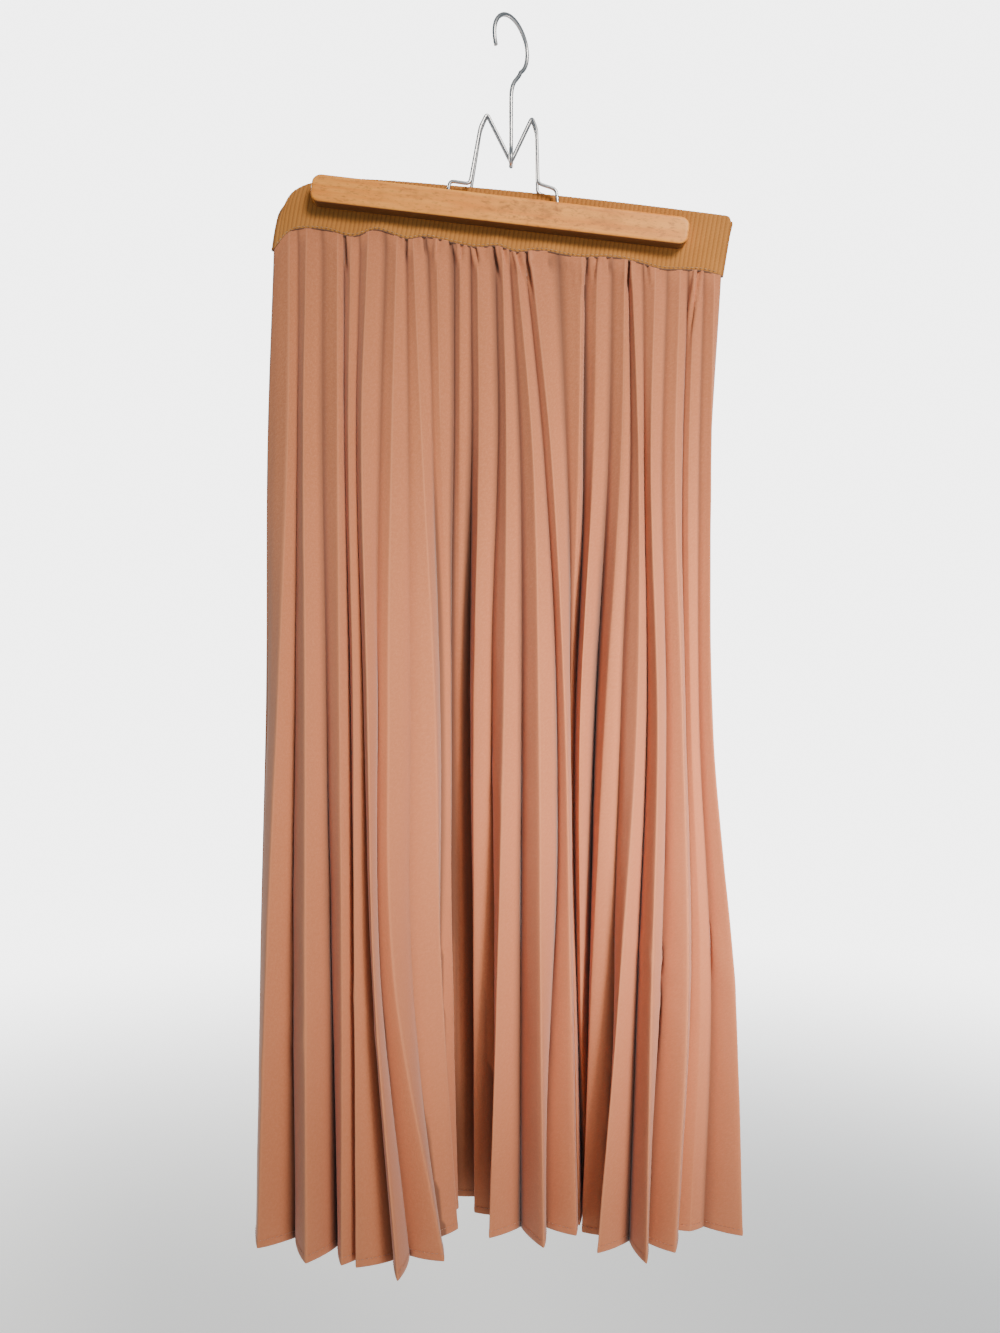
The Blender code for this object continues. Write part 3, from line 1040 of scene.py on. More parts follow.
    def face_points(
        self, a: SectionPoint, b: SectionPoint, i: int, t: float, length: float, cut: Sequence[float]
    ) -> list[DensePoint]:
        """The points of one face between two folds.

        Args:
            a: The fold before it.
            b: The fold after it.
            i: The face's number from the left.
            t: The share of the skirt's length.
            length: The face's width.
            cut: The shares of the width that the two folds' round edges take.

        Returns:
            The face's points, without the folds themselves.
        """
        sign = float(self.side.value)
        normal = (sign * (a.out - b.out) / length, sign * (b.x - a.x) / length)
        rise = min(0.05 * length, 1.8) * ease(t, 0.05, 0.6)
        line = 0.38 if i % 2 else 0.6
        kink = min(0.03 * length, 0.55) * (1.0 - ease(t, 0.55, 0.95))
        points = []
        for k in range(self.face_steps + 1):
            s = mix(cut[0], 1.0 - cut[1], k / self.face_steps)
            lift = (rise + a.bow) * 4 * s * (1 - s) + kink * max(0.0, 1.0 - abs(s - line) / 0.34)
            crest = mix(a.crest, b.crest, s)
            x, out = mix(a.x, b.x, s) + normal[0] * lift, mix(a.out, b.out, s) + normal[1] * lift
            points.append(DensePoint(x, out, mix(a.waist_x, b.waist_x, s), crest))
        return points

    def levels(self) -> list[float]:
        """How far below the seam each row of points lies.

        Returns:
            Distances that lie close together at the seam and the hem.
        """
        near_seam = [0.0, 0.8, 1.8, 3.0, 4.5, 6.2, 8.2, 10.5, 13.2, 16.3, 20.0, 24.2, 29.0, 34.5, 40.7]
        near_hem = [7.4, 6.0, 5.4, 5.0, 4.6, 3.6, 2.2, 0.8, 0.0]
        start, end, step = near_seam[-1] + 7.0, self.length - near_hem[0] - 4.0, 7.3
        count = int((end - start) / step)
        between = [mix(start, end, k / count) for k in range(count + 1)]
        return near_seam + between + [self.length - d for d in near_hem]

    def gathers(self, x: float, below: float) -> float:
        """How far the gathers under the waist seam raise or sink the cloth here.

        Args:
            x: The place across the skirt.
            below: The distance from the waist seam.

        Returns:
            Millimetres outwards.
        """
        lift = 0.0
        for tuck in self.tucks:
            away = abs(x - tuck.x - tuck.lean * below / tuck.length)
            if below < tuck.length and away < self.tuck_reach:
                fade = 1.0 - ease(below, 0.35 * tuck.length, tuck.length)
                valley = math.exp(-(away**2) / 0.8)
                banks = 0.5 * math.exp(-((away - 2.4) ** 2) / 1.5)
                lift += 1.35 * tuck.depth * fade * (banks - valley)
        return lift

    def relief(self, x: float, down: float, below: float) -> float:
        """How far the cloth stands off its plain folds here: gathers, creases and soft unevenness.

        Args:
            x: The place across the skirt.
            down: The place down it.
            below: The distance from the waist seam.

        Returns:
            Millimetres outwards.
        """
        lift = self.gathers(x, below)
        for crease in self.creases:
            if max(abs(down - crease.down0), abs(x - crease.x0)) > self.crease_reach:
                continue
            run = (crease.x1 - crease.x0, crease.down1 - crease.down0)
            size = math.hypot(*run)
            share = ((x - crease.x0) * run[0] + (down - crease.down0) * run[1]) / size**2
            away = ((x - crease.x0) * run[1] - (down - crease.down0) * run[0]) / size
            if -0.2 < share < 1.2 and abs(away) < 3 * crease.width:
                fade = ease(share, -0.2, 0.25) * (1.0 - ease(share, 0.75, 1.2))
                lift += crease.height * fade * math.exp(-((away / crease.width) ** 2))
        soft = ease(below, 5, 60)
        lift += 0.45 * soft * ripple(x / 26.0, down / 85.0, 3.1 * self.side.value)
        lift += 0.22 * soft * ripple(x / 9.0, down / 34.0, 8.7 * self.side.value)
        return lift

    def sewn_out(self, point: DensePoint, below: float, share: float) -> float:
        """How far out a point lies where the folds are drawn flat along the elastic's lower edge.

        Args:
            point: The point as folded.
            below: The distance from the waist seam.
            share: How much of the change it takes, which is none at the side seams.

        Returns:
            Its place from the middle plane.
        """
        drawn = (1.0 - ease(below, 0.0, self.gather_height)) * share
        edge = self.side.value * (self.elastic_out + self.elastic_opening * bulge(point.waist_x) + 0.3 * point.crest)
        return mix(point.out, edge, drawn)

    def hem_profile(self, above: float) -> tuple[float, float]:
        """The wall's half thickness at a turned-up hem with a stitched line.

        Args:
            above: The distance above the hem's edge.

        Returns:
            How far the outer and the inner face lie from the middle.
        """
        if above > self.hem_height + 0.7:
            return self.half_cloth, self.half_cloth
        groove = 0.16 * math.exp(-(((above - self.hem_height) / 0.5) ** 2))
        edge = 0.25 * (1.0 - ease(above, 0.0, 1.2))
        return self.half_cloth + self.hem_face - groove - edge, self.half_cloth + self.hem_inside - edge

    def down_at(self, waist_x: float, t: float) -> float:
        """How far down a place of the cloth lies.

        Args:
            waist_x: Its place along the waist seam.
            t: The share of the skirt's length.

        Returns:
            Its distance below the inner top of the hook.
        """
        top = seam_down(self.seam, waist_x) + self.seam_gap
        bottom = self.seam_level + self.seam_slope * waist_x + self.length
        return mix(top, bottom, t)

    def loft(self) -> Loft:
        """The panel's rows of points.

        Returns:
            The wall, ready to be made.
        """
        outer, inner, crest, flat = [], [], [], []
        sign = float(self.side.value)
        waist_run, hem_run = (run_lengths([(p.x, p.out) for p in self.dense(t)]) for t in (0.0, 1.0))
        for below in self.levels():
            t = below / self.length
            section = self.dense(t)
            path = [(p.x, p.out) for p in section]
            rows: tuple[list[Point3], list[Point3]] = ([], [])
            thick = self.hem_profile(self.length - below)
            for i, point in enumerate(section):
                down = self.down_at(point.waist_x, t)
                normal = [sign * part for part in outward(path, i)]
                free = min(min(i, len(section) - 1 - i) / self.held_points, 1.0)
                lift = self.relief(point.x, down, below) * free
                out = self.sewn_out(point, below, free)
                for grid, shift in zip(rows, (lift + thick[0], lift - thick[1])):
                    grid.append((point.x + normal[0] * shift, out + normal[1] * shift, down))
            outer.append(rows[0])
            inner.append(rows[1])
            # The crest numbers carry painted shade: they fall in the hollows between folds and along the gathers, where
            # the crepe darkens.
            depths = hollows(section, self.side, mix(20.0, 45.0, t))
            sunk = [min(self.gathers(p.x, below), 0.0) for p in section]
            crest.append([p.crest - 1.7 * h + 0.45 * g for p, h, g in zip(section, depths, sunk)])
            width = [mix(w, h, t) for w, h in zip(waist_run, hem_run)]
            flat.append([(w * MM, below * MM) for w in width])
        return Loft(f"{self.side.name.lower()}_panel_crepe", outer, inner, crest, flat)

    def hem_line(self) -> list[Point3]:
        """The line of the hem's stitches, on the cloth's outer face.

        Returns:
            Its points, from left to right.
        """
        t = 1.0 - self.hem_height / self.length
        section = self.dense(t)
        path = [(p.x, p.out) for p in section]
        line = []
        sign = float(self.side.value)
        for i, point in enumerate(section[3:-3], 3):
            down = self.down_at(point.waist_x, t)
            normal = outward(path, i)
            lift = self.relief(point.x, down, self.length - self.hem_height) + self.half_cloth + self.hem_face
            line.append((point.x + sign * normal[0] * lift, point.out + sign * normal[1] * lift, down))
        return line

    def build(self) -> bpy.types.Object:
        """Makes the panel's wall and reports it."""
        loft = self.loft()
        piece = loft.build(self.finish)
        LOG.info("%s: %d by %d points", piece.name, len(loft.outer), len(loft.outer[0]))
        return piece


@dataclass
class StitchRun:
    """A line of sewn stitches, each a short thread that dips into the cloth at its ends.

    Each of a stitch's rings has its share of the stitch's length, its height over the cloth and its girth.
    """

    name: str
    line: Sequence[Point3]
    finish: bpy.types.Material
    side: Side
    length: float = 2.3
    gap: float = 0.9
    radius: float = 0.2
    sides: int = 5
    rings: tuple[Point3, ...] = (
        (0.0, -0.25, 0.6),
        (0.18, 0.1, 1.0),
        (0.5, 0.2, 1.0),
        (0.82, 0.1, 1.0),
        (1.0, -0.25, 0.6),
    )

    def build(self) -> bpy.types.Object:
        """Makes the stitches as one piece.

        Returns:
            The new object.
        """
        points: list[Point3] = []
        faces: list[tuple[int, ...]] = []
        run = run_lengths(self.line)
        at = self.gap
        k = 0
        while at + self.length < run[-1]:
            while run[k + 1] < at:
                k += 1
            self.stitch(points, faces, self.on_line(run, k, at), self.on_line(run, k, at + self.length))
            at += self.length + self.gap
        LOG.info("%s: %d faces", self.name, len(faces))
        return finished(self.name, [place(*p) for p in points], faces, self.finish)

    def on_line(self, run: Sequence[float], k: int, at: float) -> Vector:
        """The place at a distance along the line.

        Args:
            run: The distance to each of the line's points.
            k: The number of a point before the place.
            at: The distance.

        Returns:
            The place.
        """
        while k + 2 < len(run) and run[k + 1] < at:
            k += 1
        span = run[k + 1] - run[k] or 1.0
        return Vector(self.line[k]).lerp(Vector(self.line[k + 1]), (at - run[k]) / span)

    def stitch(self, points: list[Point3], faces: list[tuple[int, ...]], start: Vector, end: Vector) -> None:
        """Adds one stitch.

        Args:
            points: The piece's points so far.
            faces: The piece's faces so far.
            start: Where on the cloth the stitch begins.
            end: Where on the cloth it ends.
        """
        out = Vector((0.0, float(self.side.value), 0.0))
        lengthwise = (end - start).normalized()
        across = lengthwise.cross(out).normalized()
        up = across.cross(lengthwise).normalized()
        if up.dot(out) < 0:
            up = -up
        first = len(points)
        for share, height, girth in self.rings:
            middle = start.lerp(end, share) + up * height
            for s in range(self.sides):
                angle = 2 * math.pi * s / self.sides
                shift = across * math.cos(angle) + up * math.sin(angle)
                points.append(tuple(middle + shift * self.radius * girth))
        faces += tube_faces(len(self.rings), self.sides, first)


@dataclass(frozen=True)
class Station:
    """A place round the elastic ring: its share along the side, which side, the fold's angle and its rib height."""

    share: float
    side: int
    angle: float
    rib: float


@dataclass
class ElasticWaistband:
    """The wide ribbed elastic: one ring, pressed flat in the clamp and drawn into waves by the seam below it."""

    finish: bpy.types.Material
    # Painted shade for the dark strip along the seam.
    seam_shadow_finish: bpy.types.Material
    thread: bpy.types.Material
    half: float = 0.8
    flat_out: float = 1.15
    ribs: int = 102
    rib_height: float = 0.42
    rib_steps: int = 6
    opening: float = 3.2
    end_bow: float = 2.2
    corner: float = 4.0
    top_rounding: float = 0.45
    seam_rounding: float = 0.4
    stitch_level: float = 0.962
    stitch_lift: float = 0.35
    stitch_steps: int = 340
    # Where the strip of painted shade along the seam lies: its rows' drops and its faces' depths.
    shadow_strip_drops: tuple[float, ...] = (-1.6, -0.2, 0.3, 0.6)
    shadow_strip_faces: Flat = (0.75, -0.25)

    def stations(self) -> list[Station]:
        """The places round the ring.

        Returns:
            Those along the front, round the right fold, along the back and round the left fold.
        """
        count = self.ribs * self.rib_steps
        run = []
        for i in range(count + 1):
            wave = 0.5 - 0.5 * math.cos(2 * math.pi * i / self.rib_steps)
            run.append(Station(i / count, 0, 0.0, wave**0.6))
        front = [Station(s.share, 1, 0.0, s.rib) for s in run]
        back = [Station(s.share, -1, 0.0, s.rib) for s in reversed(run)]
        right = [Station(1.0, 0, math.radians(a), 0.0) for a in (60, 30, 0, -30, -60)]
        left = [Station(0.0, 0, math.radians(a), 0.0) for a in (240, 210, 180, 150, 120)]
        return front + right + back + left

    def middle(self, share: float, side: int, v: float) -> tuple[float, float, float]:
        """Where the elastic's middle lies.

        Args:
            share: The share of the way from the left end to the right.
            side: 1 on the front, -1 on the back and 0 on the side folds.
            v: 0 at the top edge and 1 at the seam.

        Returns:
            x, out from the middle plane, and down.
        """
        top = along(BAND_TOP, share)
        seam = BACK_SEAM if side < 0 else FRONT_SEAM
        seam_x = mix(seam[0][0], seam[-1][0], share)
        down = mix(top[1], seam_down(seam, seam_x), v)
        out = self.flat_out + self.opening * bulge(seam_x) * ease(v, 0.7, 1.0)
        left_bow = self.end_bow * (1.0 - ease(share, 0.0, 0.1)) * math.sin(math.pi * v**0.7)
        from_end = min(share, 1.0 - share) * (seam[-1][0] - seam[0][0])
        corner = self.corner * (1.0 - math.sqrt(1.0 - max(1.0 - from_end / self.corner, 0.0) ** 2))
        return mix(top[0], seam_x, v) - left_bow, out, down + corner * (1.0 - ease(v, 0.0, 0.35))

    def loft(self) -> Loft:
        """The ring's rows of points, from its top edge to its seam.

        Returns:
            The wall, ready to be made.
        """
        levels = (0.0, 0.012, 0.04, 0.1, 0.2, 0.32, 0.44, 0.56, 0.66, 0.74, 0.8, 0.86, 0.91, 0.95, 0.98, 0.993, 1.0)
        stations = self.stations()
        outer, inner, crest, flat = [], [], [], []
        for v in levels:
            rounding = self.top_rounding * (1.0 - ease(v, 0.0, 0.03)) + self.seam_rounding * ease(v, 0.985, 1.0)
            rows: tuple[list[Point3], list[Point3]] = ([], [])
            crests, flats = [], []
            run = 0.0
            before = None
            for station in stations:
                x, out, down = self.middle(station.share, station.side, v)
                rib = self.rib_height * station.rib * (1.0 - 0.7 * ease(v, 0.95, 1.0))
                if station.side:
                    rows[0].append((x, station.side * (out + self.half + rib - rounding), down))
                    rows[1].append((x, station.side * (out - self.half + rounding / 2), down))
                else:
                    reach = (math.cos(station.angle), math.sin(station.angle))
                    far, near = self.flat_out + self.half - rounding, max(self.flat_out - self.half, 0.2)
                    rows[0].append((x + reach[0] * far, reach[1] * far, down))
                    rows[1].append((x + reach[0] * near, reach[1] * near, down))
                here = rows[0][-1]
                run += math.dist(before, here) if before else 0.0
                before = here
                crests.append(station.rib)
                flats.append((run * MM, (down - along(BAND_TOP, station.share)[1]) * MM))
            outer.append(rows[0])
            inner.append(rows[1])
            crest.append(crests)
            flat.append(flats)
        return Loft("ribbed_waistband", outer, inner, crest, flat, ring=True)

    def seam_shadow_strip(self) -> Loft:
        """The dark line of the waist seam: a strip of painted shade behind the elastic's lower edge.

        Returns:
            The wall, ready to be made.
        """
        stations = self.stations()[:: self.rib_steps // 2]
        outer, inner, crest, flat = [], [], [], []
        for drop in self.shadow_strip_drops:
            rows: tuple[list[Point3], list[Point3]] = ([], [])
            for station in stations:
                x, out, down = self.middle(station.share, station.side, 1.0)
                for grid, depth in zip(rows, self.shadow_strip_faces):
                    if station.side:
                        grid.append((x, station.side * (out + depth), down + drop))
                    else:
                        reach = self.flat_out + depth
                        grid.append((x + reach * math.cos(station.angle), reach * math.sin(station.angle), down + drop))
            outer.append(rows[0])
            inner.append(rows[1])
            crest.append([0.0] * len(stations))
            flat.append([(s.share * 0.35, drop * MM) for s in stations])
        return Loft("waist_seam_shadow", outer, inner, crest, flat, ring=True)

    def stitch_line(self, side: Side) -> list[Point3]:
        """The line of stitches just above the seam, on the ribs' crests.

        Args:
            side: The side of the band.

        Returns:
            Its points, from left to right.
        """
        line = []
        for i in range(self.stitch_steps + 1):
            x, out, down = self.middle(0.004 + 0.992 * i / self.stitch_steps, side.value, self.stitch_level)
            line.append((x, side.value * (out + self.half + self.stitch_lift), down))
        return line

    def build(self) -> list[bpy.types.Object]:
        """Makes the band, the strip of painted shade along its seam, and the seam's stitches.

        Returns:
            The new objects, the band first.
        """
        band = self.loft().build(self.finish)
        # The dark strip of painted shade along the seam.
        seam = self.seam_shadow_strip().build(self.seam_shadow_finish)
        runs = []
        for side in Side:
            name = f"waist_stitches_{side.name.lower()}"
            runs.append(StitchRun(name, self.stitch_line(side), self.thread, side, length=2.4, gap=1.1).build())
        LOG.info("ribbed_waistband: %d ribs a side", self.ribs)
        return [band, seam, *runs]


@dataclass
class ClampBar:
    """A rounded beech bar, its ends a little convex, tilted with the clamp."""

    side: Side
    finish: bpy.types.Material
    length: float = 286.0
    height: float = 21.0
    thickness: float = 12.0
    down: float = 150.6
    tilt: float = math.radians(6.7)
    corner: float = 6.0
    edge: float = 1.6
    clamp_gap: float = 5.4
    end_bow: float = 1.1
    face_inset: float = 1.6

    def outline(self, inset: float) -> list[Flat]:
        """The outline of the bar's face.

        Args:
            inset: How far it is drawn in.

        Returns:
            Its points round the bar, from the bar's middle.
        """
        half_x, half_z = self.length / 2 - inset, self.height / 2 - inset
        radius = max(self.corner - inset, 0.5)
        points: list[Flat] = []
        for quarter in range(4):
            sign_x = 1.0 if quarter in (0, 3) else -1.0
            sign_z = 1.0 if quarter in (0, 1) else -1.0
            centre = (sign_x * (half_x - radius - self.end_bow), sign_z * (half_z - radius))
            for k in range(9):
                angle = math.radians(90 * quarter + 90 * k / 8)
                z = centre[1] + radius * math.sin(angle)
                bow = self.end_bow * (1.0 - (z / half_z) ** 2)
                points.append((centre[0] + radius * math.cos(angle) + sign_x * bow, z))
        return points

    def build(self) -> bpy.types.Object:
        """Makes the bar in its place.

        Returns:
            The new object.
        """
        half = self.thickness / 2
        turns = [math.radians(a) for a in (90, 70, 45, 20, 0)]
        rounding = [(half - self.edge * (1 - math.sin(a)), self.edge * (1 - math.cos(a)), 1.0) for a in turns]
        rounding.insert(0, (half, self.edge + self.face_inset, 0.0))
        rings = [(-y, inset, wear) for y, inset, wear in rounding]
        rings += [(0.0, 0.0, 0.2), *reversed(rounding)]
        points, worn = [], []
        for y, inset, wear in rings:
            for x, z in self.outline(inset):
                points.append((x * MM, y * MM, z * MM))
                worn.append(wear)
        name = f"beech_bar_{self.side.name.lower()}"
        faces = tube_faces(len(rings), len(points) // len(rings))
        bar = finished(name, points, faces, self.finish, {"edge": worn})
        bar.location = place(0.0, self.side.value * self.middle_out(), self.down)
        bar.rotation_euler = (0.0, self.tilt, 0.0)
        LOG.info("%s: %d faces", name, len(faces))
        return bar

    def top(self, x: float) -> float:
        """How far down the bar's top face is at x."""
        return self.down + x * math.tan(self.tilt) - self.height / 2 / math.cos(self.tilt)

    def middle_out(self) -> float:
        """How far the bar's middle stands from the clamp's middle plane."""
        return (self.clamp_gap + self.thickness) / 2


@dataclass
class WireWork:
    """Round plated wire along a route, with rounded ends."""

    name: str
    route: Sequence[Point3]
    radius: float
    finish: bpy.types.Material
    sides: int = 14
    end_shares: Point3 = (0.0, 0.5, 0.85)
    end_length: float = 0.6
    least_girth: float = 0.05

    def build(self) -> bpy.types.Object:
        """Makes the wire as a smooth tube.

        Returns:
            The new object.
        """
        line = [Vector(place(*p)) for p in self.route]
        points = []
        radius = self.radius * MM
        start, end = (line[1] - line[0]).normalized(), (line[-1] - line[-2]).normalized()
        across = start.orthogonal().normalized()
        rings = [self.end_ring(line[0], start, share, -radius) for share in self.end_shares]
        for i, here in enumerate(line):
            before, after = line[max(i - 1, 0)], line[min(i + 1, len(line) - 1)]
            rings.append((here, (after - before).normalized(), 1.0))
        rings += [self.end_ring(line[-1], end, share, radius) for share in reversed(self.end_shares)]
        for centre, tangent, girth in rings:
            across = (across - tangent * across.dot(tangent)).normalized()
            other = tangent.cross(across)
            for s in range(self.sides):
                angle = 2 * math.pi * s / self.sides
                shift = across * math.cos(angle) + other * math.sin(angle)
                points.append(centre + shift * radius * max(girth, self.least_girth))
        faces = tube_faces(len(rings), self.sides, turned=True)
        LOG.info("%s: %d faces", self.name, len(faces))
        return finished(self.name, points, faces, self.finish)

    def end_ring(self, end: Vector, along_wire: Vector, share: float, radius: float) -> tuple[Vector, Vector, float]:
        """A ring of a rounded end.

        Args:
            end: Where the route ends.
            along_wire: The wire's direction there.
            share: How near the ring is to the full girth, from 0 at the tip to 1.
            radius: The wire's radius in metres, negative at the start.

        Returns:
            The ring's centre, its direction and its girth.
        """
        centre = end + along_wire * radius * (1.0 - share) * self.end_length
        return centre, along_wire, math.sqrt(1 - (1 - share) ** 2)


@dataclass
class ClampHanger:
    """The hanger: two beech bars, a wire frame from each, and the hook whose eye goes round both."""

    wood: bpy.types.Material
    wire: bpy.types.Material
    wire_radius: float = 1.3
    wire_bend: float = 3.4
    wire_apart: float = 1.6
    hook_radius: float = 1.6
    hook_inner: float = 19.0
    hook_turn: float = math.radians(52.0)
    eye_radius: float = 4.9
    eye_down: float = 107.0

    def rounded(self, corners: Sequence[Point3], steps: int = 8) -> list[Point3]:
        """A wire's route with each corner turned round an arc.

        Args:
            corners: The route's ends and corners.
            steps: How many steps an arc has.

        Returns:
            The route's points.
        """
        route = [corners[0]]
        for before, here, after in zip(corners, corners[1:], corners[2:]):
            reach = []
            for other in (before, after):
                length = math.dist(here, other)
                cut = min(self.wire_bend, 0.45 * length)
                reach.append([mix(h, o, cut / length) for h, o in zip(here, other)])
            for k in range(steps + 1):
                s = k / steps
                ends = zip(reach[0], here, reach[1])
                route.append(tuple((1 - s) ** 2 * a + 2 * s * (1 - s) * b + s * s * c for a, b, c in ends))
        route.append(corners[-1])
        return route

    def frame_route(self, bar: ClampBar) -> list[Point3]:
        """The route of one bar's wire: up from the bar, over to a leg, two peaks and the dip between them.

        Args:
            bar: The bar that holds it.

        Returns:
            The route's points.
        """
        in_bar = bar.middle_out()
        side = float(bar.side.value)
        corners = (
            (-39.2, in_bar, bar.top(-39.2) + 0.4),
            (-38.0, in_bar, 127.3),
            (-22.9, in_bar, 129.5),
            (-15.1, 3.4, 84.0),
            (-9.9, self.wire_apart, 72.8),
            (HOOK_X, self.wire_apart, 109.2),
            (24.3, self.wire_apart, 75.7),
            (27.8, 3.4, 85.8),
            (28.7, in_bar, 129.2),
            (42.4, in_bar, 133.7),
            (43.6, in_bar, bar.top(43.6) + 0.4),
        )
        return self.rounded([(x, side * out, down) for x, out, down in corners])

    def hook_route(self) -> list[Point3]:
        """The hook's route: an open bowl, the stem, and the eye round both frames.

        Returns:
            The route's points, from the tip.
        """
        radius = self.hook_inner + self.hook_radius
        bowl = []
        for degrees in range(205, -60, -7):
            angle = math.radians(degrees)
            bowl.append((radius * math.cos(angle), self.hook_inner - radius * math.sin(angle)))
        neck = ((10.6, 38.6), (7.6, 42.3), (4.7, 45.6), (2.6, 49.0), (1.1, 52.9), (0.3, 57.0), (0.05, 61.0), (0.0, 66.0))
        bowl += [*neck, (0.0, 80.0)]
        route = []
        for across, down in bowl:
            route.append((HOOK_X + across * math.cos(self.hook_turn), -across * math.sin(self.hook_turn), down))
        eye = [(0.0, self.eye_down - 12.0), (0.4, self.eye_down - 8.6), (1.5, self.eye_down - 6.0)]
        for degrees in range(40, 326, 10):
            angle = math.radians(degrees)
            eye.append((self.eye_radius * math.sin(angle), self.eye_down - self.eye_radius * math.cos(angle)))
        return route + [(HOOK_X, out, down) for out, down in eye]

    def build(self) -> list[bpy.types.Object]:
        """Makes the bars, the frames and the hook, each in place of its plain solid.

        Returns:
            The new objects.
        """
        pieces = []
        for side in Side:
            bar = ClampBar(side, self.wood)
            name = side.name.lower()
            beam = bar.build()
            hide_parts(f"clamp_bar_{name}")
            frame = WireWork(f"bright_frame_{name}", self.frame_route(bar), self.wire_radius, self.wire).build()
            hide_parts(f"wire_frame_{name}")
            pieces += [beam, frame]
        hook = WireWork("bright_hook", self.hook_route(), self.hook_radius, self.wire).build()
        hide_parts("hook")
        return [*pieces, hook]


@dataclass(frozen=True)
class SoftLight:
    """A square area light that faces a place on the skirt, in metres, watts and degrees."""

    name: str
    at: Point3
    size: float
    power: float
    colour: Colour
    aim: Point3
    spread: float = 180.0

    def build(self) -> None:
        """Makes the light, which the camera doesn't see."""
        data = bpy.data.lights.new(self.name, "AREA")
        data.shape = "SQUARE"
        data.size = self.size
        data.energy = self.power
        data.color = self.colour
        data.spread = math.radians(self.spread)
        light = bpy.data.objects.new(self.name, data)
        light.visible_camera = False
        light.location = self.at
        light.rotation_euler = (Vector(self.aim) - Vector(self.at)).to_track_quat("-Z", "Y").to_euler()
        bpy.context.scene.collection.objects.link(light)


@dataclass
class Studio:
    """A pale floor, soft light and the camera at the photograph's angle."""

    floor_down: float = 1420.0
    floor_half: float = 40.0
    camera_away: float = 850.0
    camera_down: float = 494.0
    half_height: float = 508.6
    sensor: float = 36.0
    air_tone: Colour = (0.74, 0.90, 1.0)
    air_strength: float = 0.25
    backdrop_strength: float = 6.0
    lights: tuple[SoftLight, ...] = (
        SoftLight("window", (0.9, -1.5, 0.65), 0.9, 4.2, WINDOW_TONE, (0.10, 0.0, -0.32), 37.0),
        SoftLight("low_window", (0.9, -1.4, -0.7), 0.4, 1.45, BOUNCE_TONE, (0.25, 0.0, -0.59), 27.0),
        SoftLight("back_window", (-1.3, 1.3, 0.6), 0.7, 32.0, WINDOW_TONE, (0.0, 0.0, -0.45)),
        SoftLight("back_bounce", (1.3, 1.05, -0.9), 0.5, 3.0, BOUNCE_TONE, (0.1, 0.0, -0.7), 55.0),
    )

    def floor(self) -> None:
        """The floor, which isn't part of the object."""
        half, down = self.floor_half, -self.floor_down * MM
        corners = [(-half, -half, down), (half, -half, down), (half, half, down), (-half, half, down)]
        finished("studio_floor", corners, [(0, 1, 2, 3)], PaleFloor().material())

    def backdrop(self) -> None:
        """The even pale surroundings."""
        world = bpy.data.worlds.new("studio_air")
        world.use_nodes = True
        nodes = Nodes(world.node_tree)
        air = nodes.node("ShaderNodeBackground", inputs={"Color": self.air_tone, "Strength": self.air_strength})
        seen = nodes.node("ShaderNodeBackground", inputs={"Strength": self.backdrop_strength})
        rays = nodes.node("ShaderNodeLightPath")
        ends = {0: rays.outputs["Is Camera Ray"], 1: air.outputs[0], 2: seen.outputs[0]}
        either = nodes.node("ShaderNodeMixShader", inputs=ends)
        nodes.node("ShaderNodeOutputWorld", inputs={"Surface": either.outputs[0]})
        bpy.context.scene.world = world

    def camera(self) -> None:
        """The camera, level and square to the clamp, at the height of the skirt's middle."""
        data = bpy.data.cameras.new("photo_camera")
        data.sensor_width = self.sensor
        data.lens = self.sensor / 2 * self.camera_away / self.half_height
        camera = bpy.data.objects.new("photo_camera", data)
        camera.location = place(0.0, self.camera_away, self.camera_down)
        camera.rotation_euler = (math.pi / 2, 0.0, 0.0)
        bpy.context.scene.collection.objects.link(camera)
        bpy.context.scene.camera = camera

    def build(self) -> None:
        """Sets up the whole studio."""
        self.floor()
        self.backdrop()
        self.camera()
        for light in self.lights:
            light.build()


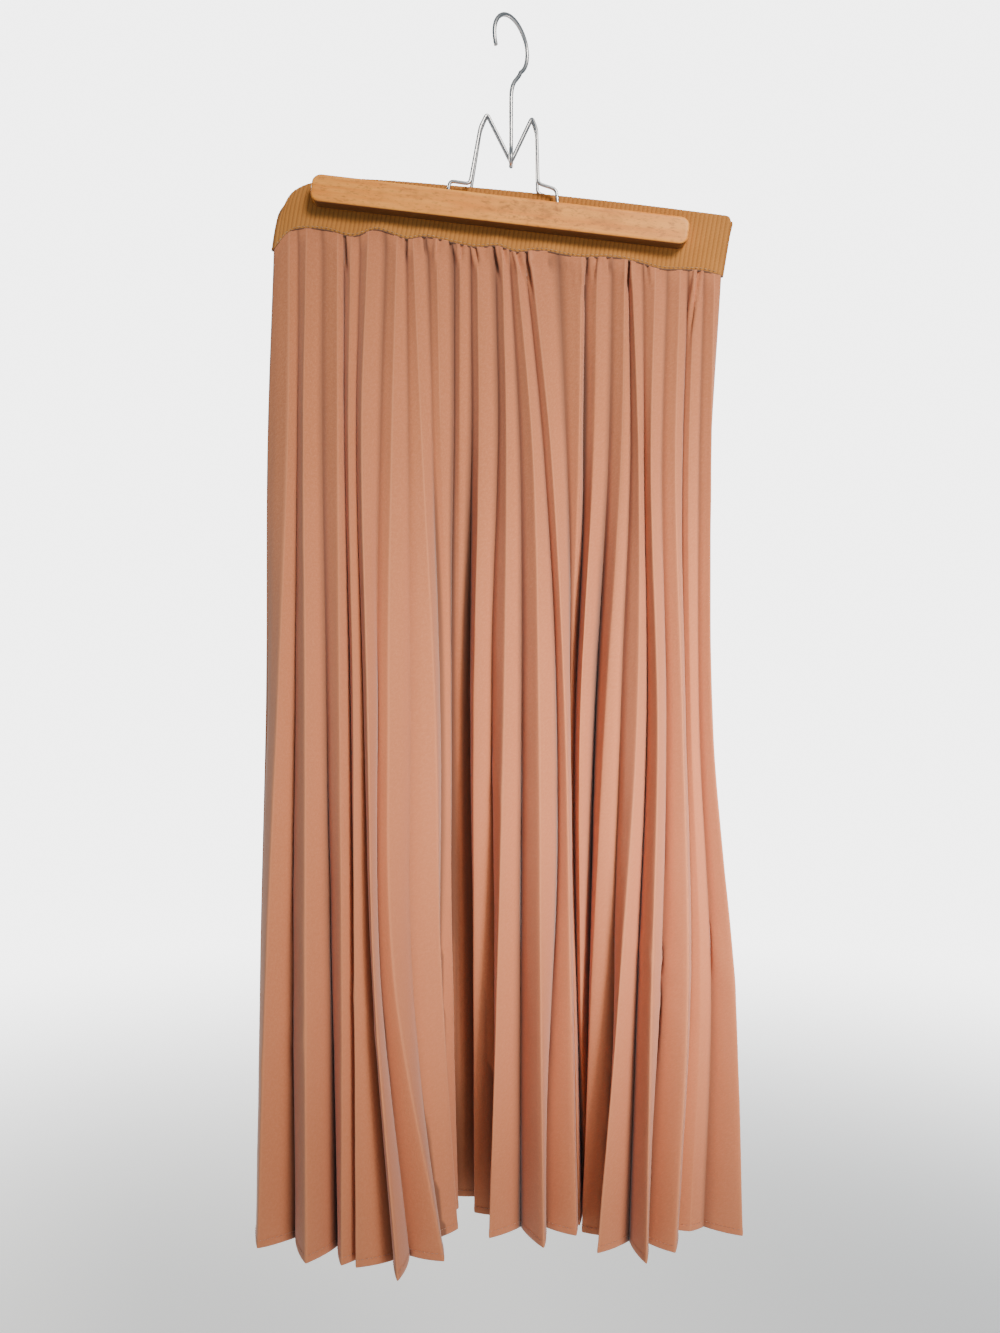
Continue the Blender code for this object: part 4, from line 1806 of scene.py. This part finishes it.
@dataclass
class Skirt:
    """The garment: two pleated panels, their hem stitches and the elastic waistband."""

    crepe: bpy.types.Material
    elastic: bpy.types.Material
    # Painted shade for the dark strip along the waist seam.
    seam: bpy.types.Material
    waist_thread: bpy.types.Material
    hem_thread: bpy.types.Material
    back_gathers: int = 26

    def back_tucks(self) -> list[Tuck]:
        """Gathers under the back's seam, as uneven as the front's.

        Returns:
            The gathers, from left to right.
        """
        tucks = []
        for i in range(self.back_gathers):
            x = -150 + 12.1 * i + 3.0 * math.sin(2.9 * i)
            length, depth = 18 + 9 * math.sin(1.3 * i), 1.25 + 0.4 * math.sin(2.1 * i)
            tucks.append(Tuck(x, length, depth, 3 * math.sin(1.7 * i)))
        return tucks

    def build(self) -> list[bpy.types.Object]:
        """Makes the panels, their hem stitches and the band.

        Returns:
            The new objects.
        """
        pieces: list[bpy.types.Object] = []
        sides = (
            (Side.FRONT, FRONT_SEAM, FRONT_TUCKS, FRONT_CREASES, (1.20, 0.76), 0.627),
            (Side.BACK, BACK_SEAM, self.back_tucks(), BACK_CREASES, (1.04, 0.76), 0.566),
        )
        for side, seam, tucks, creases, flat, area in sides:
            panel = PleatedPanel(side, self.crepe, seam, tucks, creases)
            cloth = panel.build()
            name = side.name.lower()
            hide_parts(f"{name}_panel")
            stitches = StitchRun(f"hem_stitches_{name}", panel.hem_line(), self.hem_thread, side).build()
            pieces += [cloth, stitches]
        band, *trims = ElasticWaistband(self.elastic, self.seam, self.waist_thread).build()
        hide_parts("waistband")
        return [*pieces, band, *trims]


def main() -> None:
    """Builds the garment, the hanger and the studio in order."""
    logging.basicConfig(level=logging.INFO, format="%(message)s")
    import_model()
    hanger = ClampHanger(VarnishedBeech().material(), BrightWire().material())
    pieces = hanger.build()
    skirt = Skirt(
        PleatedCrepe().material(),
        RibbedElastic().material(),
        # Painted shade for the dark strip along the waist seam.
        SewingThread("seam_shadow", (0.10, 0.04, 0.02), (0.16, 0.07, 0.03)).material(),
        SewingThread("waist_thread", (0.55, 0.36, 0.20), (0.42, 0.25, 0.12)).material(),
        SewingThread("hem_thread", (0.56, 0.29, 0.19), (0.44, 0.21, 0.13)).material(),
    )
    pieces += skirt.build()
    for piece in pieces:
        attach(piece, BODY)
        LOG.info("%s rides on %s", piece.name, BODY)
    Studio().build()


if __name__ == "__main__":
    main()
